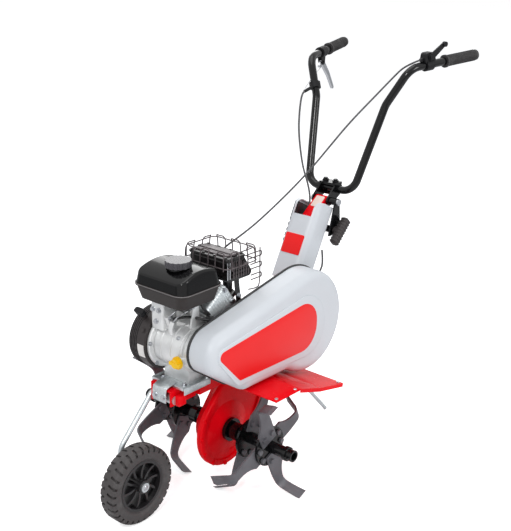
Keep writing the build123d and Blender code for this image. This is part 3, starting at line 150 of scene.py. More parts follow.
class Finish:  # one material, built node by node
    def __init__(self, name, **fixed):
        self.material = bpy.data.materials.new(name)
        self.material.use_nodes = True
        self.tree = self.material.node_tree
        self.tree.nodes.clear()
        self.shader = self.node("ShaderNodeBsdfPrincipled", {}, fixed)
        out = self.node("ShaderNodeOutputMaterial", {}, {})
        self.tree.links.new(self.shader.outputs[0], out.inputs["Surface"])
        self.where = self.node("ShaderNodeTexCoord", {}, {}).outputs["Object"]

    def feed(self, socket, item):
        if isinstance(item, Value):
            self.tree.links.new(item.socket, socket)
        elif isinstance(item, bpy.types.NodeSocket):
            self.tree.links.new(item, socket)
        else:
            socket.default_value = item

    def node(self, kind, settings, inputs):
        made = self.tree.nodes.new(kind)
        for key, item in settings.items():
            setattr(made, key, item)
        for key, item in inputs.items():
            self.feed(made.inputs[key], item)
        return made

    def noise(self, scale, detail=3.0, rough=0.55, stretch=None):
        place = self.where
        if stretch:
            place = self.node("ShaderNodeMapping", {}, {"Vector": self.where, "Scale": stretch}).outputs[0]
        made = self.node("ShaderNodeTexNoise", {}, {
            "Vector": place, "Scale": scale, "Detail": detail, "Roughness": rough,
        })
        return Value(self, made.outputs[0])

    def axis(self, letter):
        split = self.node("ShaderNodeSeparateXYZ", {}, {"Vector": self.where})
        return Value(self, split.outputs[letter])

    def mix(self, factor, first, second):
        made = self.node("ShaderNodeMix", {"data_type": "RGBA"}, {0: factor})
        for index, item in ((6, first), (7, second)):
            if isinstance(item, tuple):
                item = (*item, 1.0)
            self.feed(made.inputs[index], item)
        return made.outputs[2]

    def paint(self, **sockets):
        for key, item in sockets.items():
            label = {"color": "Base Color", "roughness": "Roughness", "metallic": "Metallic",
                     "coat": "Coat Weight"}[key]
            if isinstance(item, tuple):
                item = (*item, 1.0)
            self.feed(self.shader.inputs[label], item)
        return self

    def bump(self, height, distance, strength=1.0):
        made = self.node("ShaderNodeBump", {}, {"Height": height, "Distance": distance, "Strength": strength})
        self.tree.links.new(made.outputs[0], self.shader.inputs["Normal"])
        return self


def darker(color, share):
    return tuple(v * share for v in color)


def lighter(color, share):
    return tuple(v + (1 - v) * share for v in color)


finishes = {}


def addFinishes(maker, rows):  # each row has a name and what its maker takes
    for name, values in rows.items():
        finishes[name] = maker(name, *values)


enamel = {"red": tone(240, 9, 24), "black": tone(14, 14, 16)}


def makeEnamel(name, color, gloss, dust, shine, coat):
    f = Finish(name, **{"Coat Roughness": 0.06, "Specular IOR Level": shine})
    cloud = f.noise(9, 3).step(0.3, 0.75)
    orange = f.noise(420, 2)
    specks = f.noise(160, 4).step(0.62, 0.75)
    tint = f.mix(cloud * 0.5, color, darker(color, 0.82))
    f.paint(color=f.mix(specks * dust, tint, lighter(color, 0.12)))
    f.paint(roughness=gloss + cloud * 0.08 + specks * 0.12, coat=coat - cloud * 0.1)
    return f.bump(orange, 0.00012, 0.35)


addFinishes(makeEnamel, {
    "redEnamel": (enamel["red"], 0.22, 0.12, 0.06, 0.10),
    "blackEnamel": (enamel["black"], 0.12, 0.10, 0.28, 0.12),
    "columnPaint": (enamel["red"], 0.22, 0.12, 0.06, 0.10),
})


def makeMoulding(name, color, rough, grain, bumpDepth, shine=0.3):
    f = Finish(name, **{"Specular IOR Level": shine})
    haze = f.noise(7, 3).step(0.3, 0.7)
    leather = f.noise(grain, 4, 0.6)
    f.paint(color=f.mix(haze * 0.35, color, darker(color, 0.9)))
    f.paint(roughness=rough + leather * 0.16 - 0.08 + haze * 0.05)
    return f.bump(leather, bumpDepth, 0.5)


addFinishes(makeMoulding, {
    "coverMoulding": (tone(213, 217, 222), 0.34, 900, 0.0001),
    "blackMoulding": (tone(24, 24, 26), 0.5, 700, 0.0002, 0.2),
    "rimMoulding": (tone(30, 28, 30), 0.28, 500, 0.0001, 0.55),
    "greyMoulding": (tone(70, 68, 73), 0.26, 600, 0.00012, 0.5),
    "fanMoulding": (tone(58, 53, 53), 0.42, 500, 0.0002),
    # pale grey seam bead: painted highlight along the tank lid's rim
    "seamMoulding": (tone(112, 108, 108), 0.22, 500, 0.0001, 0.5),
    "yellowMoulding": (tone(255, 203, 24), 0.32, 500, 0.00012),
    "palePlate": (tone(238, 216, 206), 0.4, 400, 0.00006),
    "whitePlate": (tone(232, 229, 226), 0.4, 400, 0.00006),
    "panelFilm": (tone(244, 24, 26), 0.3, 300, 0.00004),
})


def makeTankSkin(name, seam):
    f = Finish(name, **{"Specular IOR Level": 0.3})
    upper = f.axis("Z").step(seam - 0.001, seam + 0.001)
    haze = f.noise(8, 3)
    grain = f.noise(800, 3)
    f.paint(color=f.mix(upper, tone(46, 41, 40), tone(10, 10, 11)))
    f.paint(roughness=0.46 - upper * 0.36 + haze * 0.06)
    return f.bump(grain * (1 - upper), 0.00015, 0.6)


finishes["tankSkin"] = makeTankSkin("tankSkin", 0.5845)

tineAxle = (-0.217, 0.14894)
tineWear = Sizes(start=0.112, to=0.156)


def makeTinePaint(name, w):
    f = Finish(name)
    across = (f.axis("X") - tineAxle[0]) ** 2.0
    along = (f.axis("Z") - tineAxle[1]) ** 2.0
    reach = (across + along) ** 0.5
    scratch = f.noise(60, 5, 0.7, (1, 0.25, 1)).step(0.46, 0.64)
    rub = reach.step(w.start, w.to) * scratch
    cloud = f.noise(14, 3).step(0.3, 0.7)
    base = f.mix(cloud, tone(86, 85, 90), tone(104, 103, 108))
    f.paint(color=f.mix(rub * 0.45, base, tone(140, 138, 140)))
    f.paint(metallic=rub * 0.6 + 0.15, roughness=0.46 - rub * 0.12 + cloud * 0.08)
    return f.bump(f.noise(300, 3) + scratch * 0.6, 0.0002, 0.5)


finishes["tinePaint"] = makeTinePaint("tinePaint", tineWear)


def makeMetal(name, color, rough, grain, stretch, bumpDepth, metal=1.0):
    f = Finish(name)
    lines = f.noise(grain, 3, 0.6, stretch)
    stain = f.noise(22, 4).step(0.4, 0.72)
    f.paint(color=f.mix(stain * 0.5, color, darker(color, 0.72)))
    f.paint(roughness=rough + lines * 0.16 - 0.08 + stain * 0.08, metallic=metal)
    return f.bump(lines, bumpDepth, 0.4)


addFinishes(makeMetal, {
    "castAlloy": (tone(230, 231, 231), 0.38, 500, None, 0.0003, 0.5),
    "brightAlloy": (tone(226, 232, 234), 0.34, 300, None, 0.0001, 0.55),
    "brightSteel": (tone(190, 192, 196), 0.28, 240, (1, 1, 12), 0.00008),
    "mufflerPaint": (tone(20, 17, 18), 0.30, 420, None, 0.0002, 0.0),
    "guardSteel": (tone(92, 84, 86), 0.34, 420, None, 0.0001, 0.4),
    "lidSteel": (tone(72, 65, 67), 0.34, 260, None, 0.0002, 0.3),
})


def makeZinc(name):
    f = Finish(name)
    spangle = f.node("ShaderNodeTexVoronoi", {}, {"Vector": f.where, "Scale": 240}).outputs["Color"]
    share = f.node("ShaderNodeSeparateXYZ", {}, {"Vector": spangle}).outputs["X"]
    flake = Value(f, share)
    stain = f.noise(30, 3).step(0.45, 0.7)
    f.paint(color=f.mix(flake * 0.5 + stain * 0.3, tone(212, 218, 220), tone(168, 176, 180)))
    f.paint(roughness=0.3 + flake * 0.14, metallic=0.8)
    return f.bump(flake, 0.00006, 0.3)


finishes["zincPlate"] = makeZinc("zincPlate")


def makeRubber(name, color, rough):
    f = Finish(name)
    dust = f.noise(26, 5, 0.65).step(0.48, 0.72)
    pores = f.noise(900, 3)
    f.paint(color=f.mix(dust * 0.35, color, lighter(color, 0.12)), roughness=rough + dust * 0.1)
    return f.bump(pores, 0.00018, 0.6)


addFinishes(makeRubber, {
    "tyreRubber": (tone(66, 62, 62), 0.62),
    "gripRubber": (tone(38, 37, 38), 0.55),
    "cableSheath": (tone(62, 62, 64), 0.4),
    "trimRubber": (tone(30, 30, 32), 0.5),
})


# the column leans back from its foot, and the stud's lug behind it is painted black
column = Sizes(foot=(0.082, 0, 0.465), lean=27.7, lug=(0.036, 0.038))


def darkLug(f, c):
    lean = math.radians(c.lean)
    x, _, z = c.foot
    back = (f.axis("X") - x) * math.cos(lean) - (f.axis("Z") - z) * math.sin(lean)
    red = f.shader.inputs["Base Color"].links[0].from_socket
    f.paint(color=f.mix(back.step(*c.lug), red, enamel["black"]))


darkLug(finishes["columnPaint"], column)
print("finishes made:", len(finishes))

nodeFinish = {
    "redEnamel": ["main_frame", "chain_case_left", "chain_case_right", "left_mudguard", "right_mudguard",
                  "spur_holder"],
    "columnPaint": ["column_tube"],
    "fanMoulding": ["fan_housing", "clamp_knob"],
    "blackEnamel": ["handlebar_tube", "bar_clamp", "shaft_bearings", "belt_back_plate", "left_tine_carrier",
                    "right_tine_carrier"],
    "coverMoulding": ["belt_cover", "column_front_cover", "column_rear_cover"],
    "tinePaint": ["left_outer_blades", "left_inner_blades", "right_inner_blades", "right_outer_blades",
                  "tine_bolts"],
    "rimMoulding": ["wheel_rim"],
    "blackMoulding": ["throttle_housing", "throttle_lever", "clutch_bracket",
                      "recoil_cover", "starter_grip", "air_cleaner"],
    "tankSkin": ["fuel_tank"],
    "greyMoulding": ["fuel_cap"],
    "yellowMoulding": ["oil_plug"],
    "tyreRubber": ["tyre"],
    "gripRubber": ["handlebar_grips", "drive_belt"],
    "cableSheath": ["throttle_cable", "clutch_cable"],
    "castAlloy": ["crankcase", "cylinder", "carburettor", "flywheel", "driven_pulley"],
    "brightSteel": ["tine_shaft", "driven_sprocket", "drive_chain", "input_shaft", "engine_pulley",
                    "crankshaft", "tension_arm", "pivot_bolt", "clutch_lever", "frame_bolts"],
    "zincPlate": ["wheel_arm", "wheel_bracket", "spur", "engine_base_plate", "cylinder_shroud"],
    "mufflerPaint": ["muffler"],
    "guardSteel": ["muffler_guard"],
}
for finishName, members in nodeFinish.items():
    for member in members:
        mesh = nodes[member].data
        mesh.materials.clear()
        mesh.materials.append(finishes[finishName].material)
        for face in mesh.polygons:
            face.material_index = 0
print("solids finished:", sum(len(members) for members in nodeFinish.values()), "of", len(nodes))


def addPiece(name, mesh, finishName, body="machine"):  # a piece given no body is left unattached
    mesh.materials.clear()
    mesh.materials.append(finishes[finishName].material)
    piece = bpy.data.objects.new(name, mesh)
    bpy.context.scene.collection.objects.link(piece)
    if body:
        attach(piece, body)
    return piece


def takeMesh(name, shape, angle=35):  # smooth, with creases sharper than the angle kept
    mesh = bpy.data.meshes.new(name)
    shape.to_mesh(mesh)
    shape.free()
    mesh.shade_smooth()
    mesh.set_sharp_from_angle(angle=math.radians(angle))
    return mesh


def roundedOutline(corners, steps=8):  # (x, y, radius) corners to a smooth closed outline
    outline = []
    total = len(corners)
    for index, (x, y, radius) in enumerate(corners):
        here = Vector((x, y))
        before = (Vector(corners[index - 1][:2]) - here).normalized()
        after = (Vector(corners[(index + 1) % total][:2]) - here).normalized()
        half = before.angle(after) / 2
        reach = radius / math.tan(half)
        centre = here + (before + after).normalized() * (radius / math.sin(half))
        first = here + before * reach - centre
        last = here + after * reach - centre
        start = math.atan2(first.y, first.x)
        sweep = math.atan2(last.y, last.x) - start
        sweep = (sweep + math.pi) % (2 * math.pi) - math.pi
        for step in range(steps + 1):
            angle = start + sweep * step / steps
            outline.append(centre + radius * Vector((math.cos(angle), math.sin(angle))))
    return outline


def boxOutline(low, high, radius, steps):  # a rectangle with round corners
    (x0, y0), (x1, y1) = low, high
    return roundedOutline([(x0, y0, radius), (x1, y0, radius), (x1, y1, radius), (x0, y1, radius)], steps)


def plateMesh(name, outline, spot, depth, edge):  # spot places an outline's (x, y) at a height
    shape = bmesh.new()
    low = [shape.verts.new(spot(p.x, p.y, 0)) for p in outline]
    high = [shape.verts.new(spot(p.x, p.y, depth)) for p in outline]
    total = len(outline)
    for index in range(total):
        after = (index + 1) % total
        shape.faces.new((low[index], low[after], high[after], high[index]))
    shape.faces.new(high)
    shape.faces.new(list(reversed(low)))
    bmesh.ops.recalc_face_normals(shape, faces=shape.faces[:])
    rim = [e for e in shape.edges if e.verts[0] in high and e.verts[1] in high]
    bmesh.ops.bevel(shape, geom=rim, offset=edge, segments=3, profile=0.5, affect="EDGES")
    return takeMesh(name, shape, 40)


class Tree:  # a geometry tree with named inputs, built node by node
    def __init__(self, name, sizes):
        self.tree = bpy.data.node_groups.new(name, "GeometryNodeTree")
        for label, kind in {"Geometry": "Geometry", **sizes}.items():
            self.tree.interface.new_socket(label, in_out="INPUT", socket_type="NodeSocket" + kind)
        self.tree.interface.new_socket("Geometry", in_out="OUTPUT", socket_type="NodeSocketGeometry")
        self.given = self.tree.nodes.new("NodeGroupInput").outputs

    def add(self, kind, settings=None, **inputs):
        made = self.tree.nodes.new("GeometryNode" + kind if "Node" not in kind else kind)
        for key, item in (settings or {}).items():
            setattr(made, key, item)
        for key, item in inputs.items():
            label = key.replace("_", " ")
            socket = next(s for s in made.inputs if s.name == label and s.enabled)
            if isinstance(item, bpy.types.NodeSocket):
                self.tree.links.new(item, socket)
            elif isinstance(item, list):
                for source in item:
                    self.tree.links.new(source, socket)
            else:
                socket.default_value = item
        return made

    def spread(self, points, item, aim):  # copies an item to points, turned along an aim
        turn = self.add("FunctionNodeAlignRotationToVector", {"axis": "Z"}, Vector=aim)
        return self.add("InstanceOnPoints", Points=points, Instance=item, Rotation=turn.outputs[0]).outputs[0]

    def finish(self, geometry):
        real = self.add("RealizeInstances", Geometry=geometry)
        painted = self.add("SetMaterial", Geometry=real.outputs[0], Material=self.given["Finish"])
        out = self.tree.nodes.new("NodeGroupOutput")
        self.tree.links.new(painted.outputs[0], out.inputs[0])
        return self.tree


def runTree(name, tree, mesh, values):  # evaluates the tree once and keeps the plain mesh
    holder = bpy.data.objects.new(name, mesh)
    bpy.context.scene.collection.objects.link(holder)
    run = holder.modifiers.new(name, "NODES")
    run.node_group = tree
    for item in tree.interface.items_tree:
        if item.in_out == "INPUT" and item.name in values:
            run[item.identifier] = values[item.name]
    made = bpy.data.meshes.new_from_object(holder.evaluated_get(bpy.context.evaluated_depsgraph_get()))
    holder.modifiers.clear()
    bpy.data.objects.remove(holder)
    made.name = name
    return made


def pointMesh(name, spots):  # spots are (place, aim) pairs
    mesh = bpy.data.meshes.new(name)
    mesh.from_pydata([p for p, aim in spots], [], [])
    aims = mesh.attributes.new("aim", "FLOAT_VECTOR", "POINT")
    for index, (place, aim) in enumerate(spots):
        aims.data[index].vector = aim
    return mesh


def makeBoltTree():
    t = Tree("hexBolts", {"Head": "Float", "Height": "Float", "Washer": "Float", "Finish": "Material"})
    half = t.add("ShaderNodeMath", {"operation": "MULTIPLY"})
    t.tree.links.new(t.given["Height"], half.inputs[0])
    half.inputs[1].default_value = 0.5
    head = t.add("MeshCylinder", Vertices=6, Radius=t.given["Head"], Depth=t.given["Height"])
    lift = t.add("ShaderNodeCombineXYZ", Z=half.outputs[0])
    raised = t.add("Transform", Geometry=head.outputs["Mesh"], Translation=lift.outputs[0])
    washer = t.add("MeshCylinder", Vertices=20, Radius=t.given["Washer"], Depth=0.0024)
    both = t.add("JoinGeometry", Geometry=[raised.outputs[0], washer.outputs["Mesh"]])
    aim = t.add("InputNamedAttribute", {"data_type": "FLOAT_VECTOR"}, Name="aim")
    dots = t.add("MeshToPoints", Mesh=t.given["Geometry"])
    return t.finish(t.spread(dots.outputs[0], both.outputs[0], aim.outputs[0]))


def makeRingTree():
    t = Tree("ringRow", {"From": "Vector", "To": "Vector", "Count": "Int", "Ring": "Float", "Bead": "Float",
                         "Finish": "Material"})
    row = t.add("MeshLine", {"mode": "END_POINTS"}, Count=t.given["Count"], Start_Location=t.given["From"])
    stop = next(s for s in row.inputs if s.name in ("Offset", "End Location") and s.enabled)
    t.tree.links.new(t.given["To"], stop)
    loop = t.add("CurvePrimitiveCircle", {"mode": "RADIUS"}, Resolution=28, Radius=t.given["Ring"])
    section = t.add("CurvePrimitiveCircle", {"mode": "RADIUS"}, Resolution=8, Radius=t.given["Bead"])
    ring = t.add("CurveToMesh", Curve=loop.outputs["Curve"], Profile_Curve=section.outputs["Curve"])
    way = t.add("ShaderNodeVectorMath", {"operation": "SUBTRACT"})
    t.tree.links.new(t.given["To"], way.inputs[0])
    t.tree.links.new(t.given["From"], way.inputs[1])
    soft = t.add("SetShadeSmooth", Geometry=t.spread(row.outputs[0], ring.outputs[0], way.outputs[0]))
    return t.finish(soft.outputs[0])


boltTree = makeBoltTree()
ringTree = makeRingTree()


def addBolts(name, spots, head, height, finishName="brightSteel"):
    mesh = runTree(name, boltTree, pointMesh(name, spots), {
        "Head": head, "Height": height, "Washer": head * 1.35, "Finish": finishes[finishName].material,
    })
    return addPiece(name, mesh, finishName)


def addRings(name, rows, finishName, body="machine"):  # rows are (from, to, count, ring, bead)
    joined = bmesh.new()
    for start, stop, count, ring, bead in rows:
        joined.from_mesh(runTree(name, ringTree, bpy.data.meshes.new("row"), {
            "From": start, "To": stop, "Count": count, "Ring": ring, "Bead": bead,
            "Finish": finishes[finishName].material,
        }))
    whole = bpy.data.meshes.new(name)
    joined.to_mesh(whole)
    joined.free()
    whole.shade_smooth()
    return addPiece(name, whole, finishName, body)


# bare red panel on the belt cover, and the low plateau it lies on
coverPanel = Sizes(
    face=-0.156, filmDepth=0.0008, filmEdge=0.0003, fieldDepth=0.003,
    corners=[(-0.388, 0.447, 0.014), (-0.305, 0.356, 0.011), (-0.008, 0.350, 0.060),
             (-0.004, 0.488, 0.058)],
)


def makeCoverPanel(c):
    def spot(x, z, height):
        return (x, c.face - c.fieldDepth - height, z)

    film = plateMesh("coverPanelFilm", roundedOutline(c.corners), spot, c.filmDepth, c.filmEdge)
    addPiece("coverPanelFilm", film, "panelFilm")


makeCoverPanel(coverPanel)

# bare badge on the front of the column
columnBadge = Sizes(along=0.098, depth=-0.047, half=(0.031, 0.028), round=0.004, thick=0.0012,
                    edge=0.0004)


def columnSpot(side, along, depth):
    lean = math.radians(column.lean)
    axis = Vector((math.sin(lean), 0, math.cos(lean)))
    back = Vector((math.cos(lean), 0, -math.sin(lean)))
    return Vector(column.foot) + axis * along + back * depth + Vector((0, side, 0))


def makeColumnBadge(c):
    wide, tall = c.half

    def spot(x, y, height):
        return columnSpot(x, c.along + y, c.depth - height)

    outline = boxOutline((-wide, -tall), (wide, tall), c.round, 4)
    addPiece("columnBadge", plateMesh("columnBadge", outline, spot, c.thick, c.edge), "panelFilm")


makeColumnBadge(columnBadge)


def wireMesh(name, runs, radius, closed=False):  # one mesh of many wires, curved if open and long
    curve = bpy.data.curves.new(name, "CURVE")
    curve.dimensions = "3D"
    curve.resolution_u = 6
    curve.bevel_depth = radius
    curve.bevel_resolution = 3
    curve.use_fill_caps = not closed
    for points in runs:
        bent = len(points) > 2 and not closed
        line = curve.splines.new("NURBS" if bent else "POLY")
        line.points.add(len(points) - 1)
        for point, place in zip(line.points, points):
            point.co = (*place, 1)
        line.use_cyclic_u = closed
        if bent:
            line.order_u = 3
            line.use_endpoint_u = True
    holder = bpy.data.objects.new(name, curve)
    bpy.context.scene.collection.objects.link(holder)
    mesh = bpy.data.meshes.new_from_object(holder.evaluated_get(bpy.context.evaluated_depsgraph_get()))
    bpy.data.objects.remove(holder)
    mesh.name = name
    mesh.shade_smooth()
    return mesh


# the two sheathed cables, laid along given points
cableRuns = {
    "throttleCable": Sizes(
        node="throttle_cable", radius=0.0025, start=(0.02, -0.02, 0.72), end=(0.33, -0.12, 1.0),
        points=[(.3935, -.1755, 1.0511), (.3821, -.1728, 1.0498), (.368, -.141, 1.031),
                (.353, -.126, 1.010), (.287, -.107, .958), (.212, -.085, .899), (.156, -.063, .840),
                (.101, -.042, .782), (.025, -.020, .722), (-.057, .002, .666), (-.102, .023, .634),
                (-.145, .045, .606), (-.162, .056, .570), (-.200, .063, .542), (-.227, .066, .5195)],
    ),
    "clutchCable": Sizes(
        node="clutch_cable", radius=0.0027, start=(.190, .024, .668), end=(.225, .098, .87),
        points=[(.2737, .1179, .950), (.2584, .1150, .948), (.243, .110, .906), (.225, .098, .856),
                (.216, .084, .803), (.211, .068, .749), (.202, .040, .706), (.190, .023, .667),
                (.178, .022, .640), (.166, .022, .615)],
    ),
}
clutchTail = [(.169, -.038, .542), (.146, -.060, .518), (.118, -.073, .503), (.080, -.078, .478)]
for name, run in cableRuns.items():
    sheath = addPiece(name, wireMesh(name, [run.points], run.radius), "cableSheath", None)
    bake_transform(sheath)
    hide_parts(run.node)
tail = wireMesh("clutchCableTail", [clutchTail], cableRuns["clutchCable"].radius)
addPiece("clutchCableTail", tail, "cableSheath")
print("cables laid:", len(cableRuns))


def skinShape(rings, closeEnds=True):  # quads between equal closed rings
    shape = bmesh.new()
    rows = [[shape.verts.new(place) for place in ring] for ring in rings]
    total = len(rows[0])
    for lower, upper in zip(rows, rows[1:]):
        for index in range(total):
            after = (index + 1) % total
            shape.faces.new((lower[index], lower[after], upper[after], upper[index]))
    if closeEnds:
        shape.faces.new(rows[0])
        shape.faces.new(rows[-1])
    bmesh.ops.recalc_face_normals(shape, faces=shape.faces[:])
    return shape


def bevelEdges(shape, size, segments):
    bmesh.ops.bevel(shape, geom=shape.edges[:], offset=size, segments=segments, profile=0.5, affect="EDGES")


def turnedMesh(name, profile, foot, aim, count=40, hollow=False):  # profile is (radius, height) pairs
    aim = Vector(aim).normalized()
    across = aim.orthogonal().normalized()
    beside = aim.cross(across)
    rings = []
    for radius, height in profile:
        ring = []
        for step in range(count):
            angle = 2 * math.pi * step / count
            way = across * math.cos(angle) + beside * math.sin(angle)
            ring.append(Vector(foot) + aim * height + way * radius)
        rings.append(ring)
    if hollow:
        rings.append(rings[0])
    shape = skinShape(rings, not hollow)
    if hollow:
        bmesh.ops.remove_doubles(shape, verts=shape.verts[:], dist=1e-7)
        bmesh.ops.recalc_face_normals(shape, faces=shape.faces[:])
    return takeMesh(name, shape)


def strapMesh(name, path, side, width, thick):  # a flat bar bent along a path
    side = Vector(side).normalized()
    places = [Vector(p) for p in path]
    rings = []
    for index, place in enumerate(places):
        before = places[max(index - 1, 0)]
        after = places[min(index + 1, len(places) - 1)]
        face = (after - before).normalized().cross(side).normalized()
        half, deep = side * (width / 2), face * (thick / 2)
        rings.append([place + half + deep, place - half + deep, place - half - deep, place + half - deep])
    shape = skinShape(rings)
    bevelEdges(shape, thick * 0.2, 2)
    return takeMesh(name, shape, 30)


def blockMesh(name, low, high, edge):
    shape = bmesh.new()
    bmesh.ops.create_cube(shape, size=1)
    for vert in shape.verts:
        vert.co = [(a + b) / 2 + v * (b - a) for a, b, v in zip(Vector(low), Vector(high), vert.co)]
    bevelEdges(shape, edge, 3)
    return takeMesh(name, shape, 40)


def joinMeshes(name, meshes):
    shape = bmesh.new()
    for mesh in meshes:
        shape.from_mesh(mesh)
    return takeMesh(name, shape)


# belt cover: rubber bead round the rim and the raised field under the panel
coverRim = Sizes(
    nose=(-0.348, 0.433), noseRadius=0.057, tail=(-0.024, 0.418), tailRadius=0.136,
    tip=(-0.277, 0.313), tipRound=0.03, notchRound=0.04, back=-0.0835, bead=0.0038, fieldEdge=0.0026,
    field=[(-0.401, 0.452, 0.024), (-0.310, 0.342, 0.018), (0.030, 0.328, 0.078), (0.022, 0.512, 0.082)],
)


def arcPoints(centre, radius, start, stop, steps):
    turns = [start + (stop - start) * i / steps for i in range(steps + 1)]
    return [Vector((centre[0] + radius * math.cos(a), centre[1] + radius * math.sin(a))) for a in turns]


def coverOutline(c):
    nose, tail, tip = Vector(c.nose), Vector(c.tail), Vector(c.tip)
    apart = tail - nose
    top = math.atan2(apart.y, apart.x) + math.acos((c.noseRadius - c.tailRadius) / apart.length)
    toTip = tip - nose
    low = math.atan2(toTip.y, toTip.x) - math.acos(c.noseRadius / toTip.length) + 2 * math.pi
    noseArc = arcPoints(nose, c.noseRadius, top, low, 24)
    drop = tail.y - tip.y + c.notchRound
    reach = c.tailRadius + c.notchRound
    notch = Vector((tail.x - math.sqrt(reach ** 2 - drop ** 2), tail.y - drop))
    meet = math.atan2(tail.y - notch.y, tail.x - notch.x)
    notchArc = arcPoints(notch, c.notchRound, math.pi / 2, meet, 6)
    tailArc = arcPoints(tail, c.tailRadius, meet + math.pi, top + 2 * math.pi, 48)
    corner = [(*noseArc[-1], 0.001), (*tip, c.tipRound), (*notchArc[0], 0.001)]
    tipArc = roundedOutline(corner, 8)[9:18]
    return noseArc + tipArc + notchArc + tailArc[1:]


def makeCoverRim(c):
    rim = [(p.x, c.back, p.y) for p in coverOutline(c)]
    addPiece("coverRimBead", wireMesh("coverRimBead", [rim], c.bead, True), "trimRubber")

    def spot(x, z, height):
        return (x, coverPanel.face - height, z)

    outline = roundedOutline(c.field, 14)
    field = plateMesh("coverField", outline, spot, coverPanel.fieldDepth, c.fieldEdge)
    addPiece("coverField", field, "coverMoulding")


makeCoverRim(coverRim)

# muffler: lid with its raised middle, strap and screws
mufflerTop = Sizes(
    low=(-0.264, -0.080), high=(-0.194, 0.053), start=0.6268,
    lid=Sizes(inset=0, round=0.010, thick=0.006, edge=0.0015),
    step=Sizes(inset=0.012, round=0.007, thick=0.003, edge=0.001),
    strap=Sizes(x=(0.03, 0.044), inset=0.006, thick=0.005, edge=0.0012),
    screw=Sizes(inset=0.007, shares=(0.08, 0.36, 0.64, 0.92), head=0.0034, height=0.003),
)


def makeMufflerTop(c):
    (x0, y0), (x1, y1) = c.low, c.high
    head = c.start + c.lid.thick

    def plate(name, size, base):
        def spot(x, y, height):
            return (x, y, base + height)

        inset = size.inset
        outline = boxOutline((x0 + inset, y0 + inset), (x1 - inset, y1 - inset), size.round, 6)
        return plateMesh(name, outline, spot, size.thick, size.edge)

    addPiece("mufflerLid", plate("lid", c.lid, c.start), "mufflerPaint")
    step = plate("step", c.step, head)
    bar = c.strap
    low = (x0 + bar.x[0], y0 + bar.inset, head)
    high = (x0 + bar.x[1], y1 - bar.inset, head + bar.thick)
    strap = blockMesh("strap", low, high, bar.edge)
    addPiece("mufflerCrown", joinMeshes("mufflerCrown", [step, strap]), "lidSteel")
    screw = c.screw
    spots = [((x, y0 + (y1 - y0) * share, head), (0, 0, 1))
             for x in (x0 + screw.inset, x1 - screw.inset) for share in screw.shares]
    addBolts("mufflerScrews", spots, screw.head, screw.height, "mufflerPaint")


makeMufflerTop(mufflerTop)

# muffler: bent wire guard, its bend given as (sideways, below the crown, inward) shares and sizes
guardWires = Sizes(
    low=(-0.273, -0.089), high=(-0.158, 0.062), hoop=0.611, topHoop=0.643, inset=0.007,
    wire=0.0016, round=0.016, stirrups={"front": 3, "back": 3, "left": 2, "right": 2},
    crown=0.6480, half=0.0135, lean=0.010,
    bend=[(-1, 0.042, 0), (-1, 0.030, 0), (-1, 0.010, 0.1), (-0.9, 0, 0.7), (0, 0, 1), (0.9, 0, 0.7),
          (1, 0.010, 0.1), (1, 0.030, 0), (1, 0.042, 0)],
    loops=((0.627, -0.198), (0.599, -0.188), (0.571, -0.186)), loopHalf=0.006, loopOut=0.008,
    bow=0.002, legMiddle=0.600, legFoot=0.534,
    straps=Sizes(front=0.02, rear=-0.205, inner=(-0.074, 0.047), width=0.007, thick=0.002),
)


def makeGuardWires(c):
    (x0, y0), (x1, y1) = c.low, c.high

    def hoop(inset, z):
        outline = boxOutline((x0 + inset, y0 + inset), (x1 - inset, y1 - inset), c.round, 5)
        return [(p.x, p.y, z) for p in outline]

    hoops = wireMesh("hoops", [hoop(0, c.hoop), hoop(c.inset, c.topHoop)], c.wire, True)
    sides = {
        "front": ((x0, y0), (x0, y1), (1, 0)), "back": ((x1, y0), (x1, y1), (-1, 0)),
        "left": ((x0, y0), (x1, y0), (0, 1)), "right": ((x0, y1), (x1, y1), (0, -1)),
    }
    wires = []
    for side, count in c.stirrups.items():
        start, stop, inward = (Vector(v) for v in sides[side])
        along = (stop - start).normalized()
        for index in range(count):
            middle = start.lerp(stop, (index + 0.5) / count)
            path = []
            for sideways, drop, lean in c.bend:
                spot = middle + along * (sideways * c.half) + inward * (lean * c.lean - c.wire)
                path.append((spot.x, spot.y, c.crown - drop))
            wires.append(path)
    rise, tip, bowed = c.loopHalf, x1 + c.loopOut, y0 - c.bow
    for z, inner in c.loops:  # looped wire ends at the rear left corner
        wires.append([(inner, y0, z + rise), (x1, y0, z + rise), (tip, bowed, z + rise),
                      (tip, bowed, z - rise), (x1, y0, z - rise), (inner, y0, z - rise)])
    leg, foot = x1 + c.bow, c.legFoot  # one leg goes on down and bends in under the guard
    wires.append([(leg, bowed, c.topHoop), (leg, bowed, c.legMiddle), (leg, bowed, foot + 0.016),
                  (x1, y0 + 0.004, foot), (x1 - 0.014, y0 + 0.022, foot - 0.004)])
    stirrups = wireMesh("stirrups", wires, c.wire)
    guard = addPiece("mufflerGuardWires", joinMeshes("mufflerGuardWires", [hoops, stirrups]), "guardSteel")
    bar = c.straps
    front = x0 + bar.front
    feet = []
    for footX, footY in ((front, y1), (bar.rear, y1), (bar.rear, y0), (front, y0)):
        inner = min(max(footY, bar.inner[0]), bar.inner[1])
        path = [(footX, footY, c.hoop + 0.001), (footX, (footY + inner) / 2, c.hoop),
                (footX, inner, c.hoop)]
        feet.append(strapMesh("foot", path, (1, 0, 0), bar.width, bar.thick))
    addPiece("guardStraps", joinMeshes("guardStraps", feet), "guardSteel")
    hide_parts("muffler_guard")


makeGuardWires(guardWires)
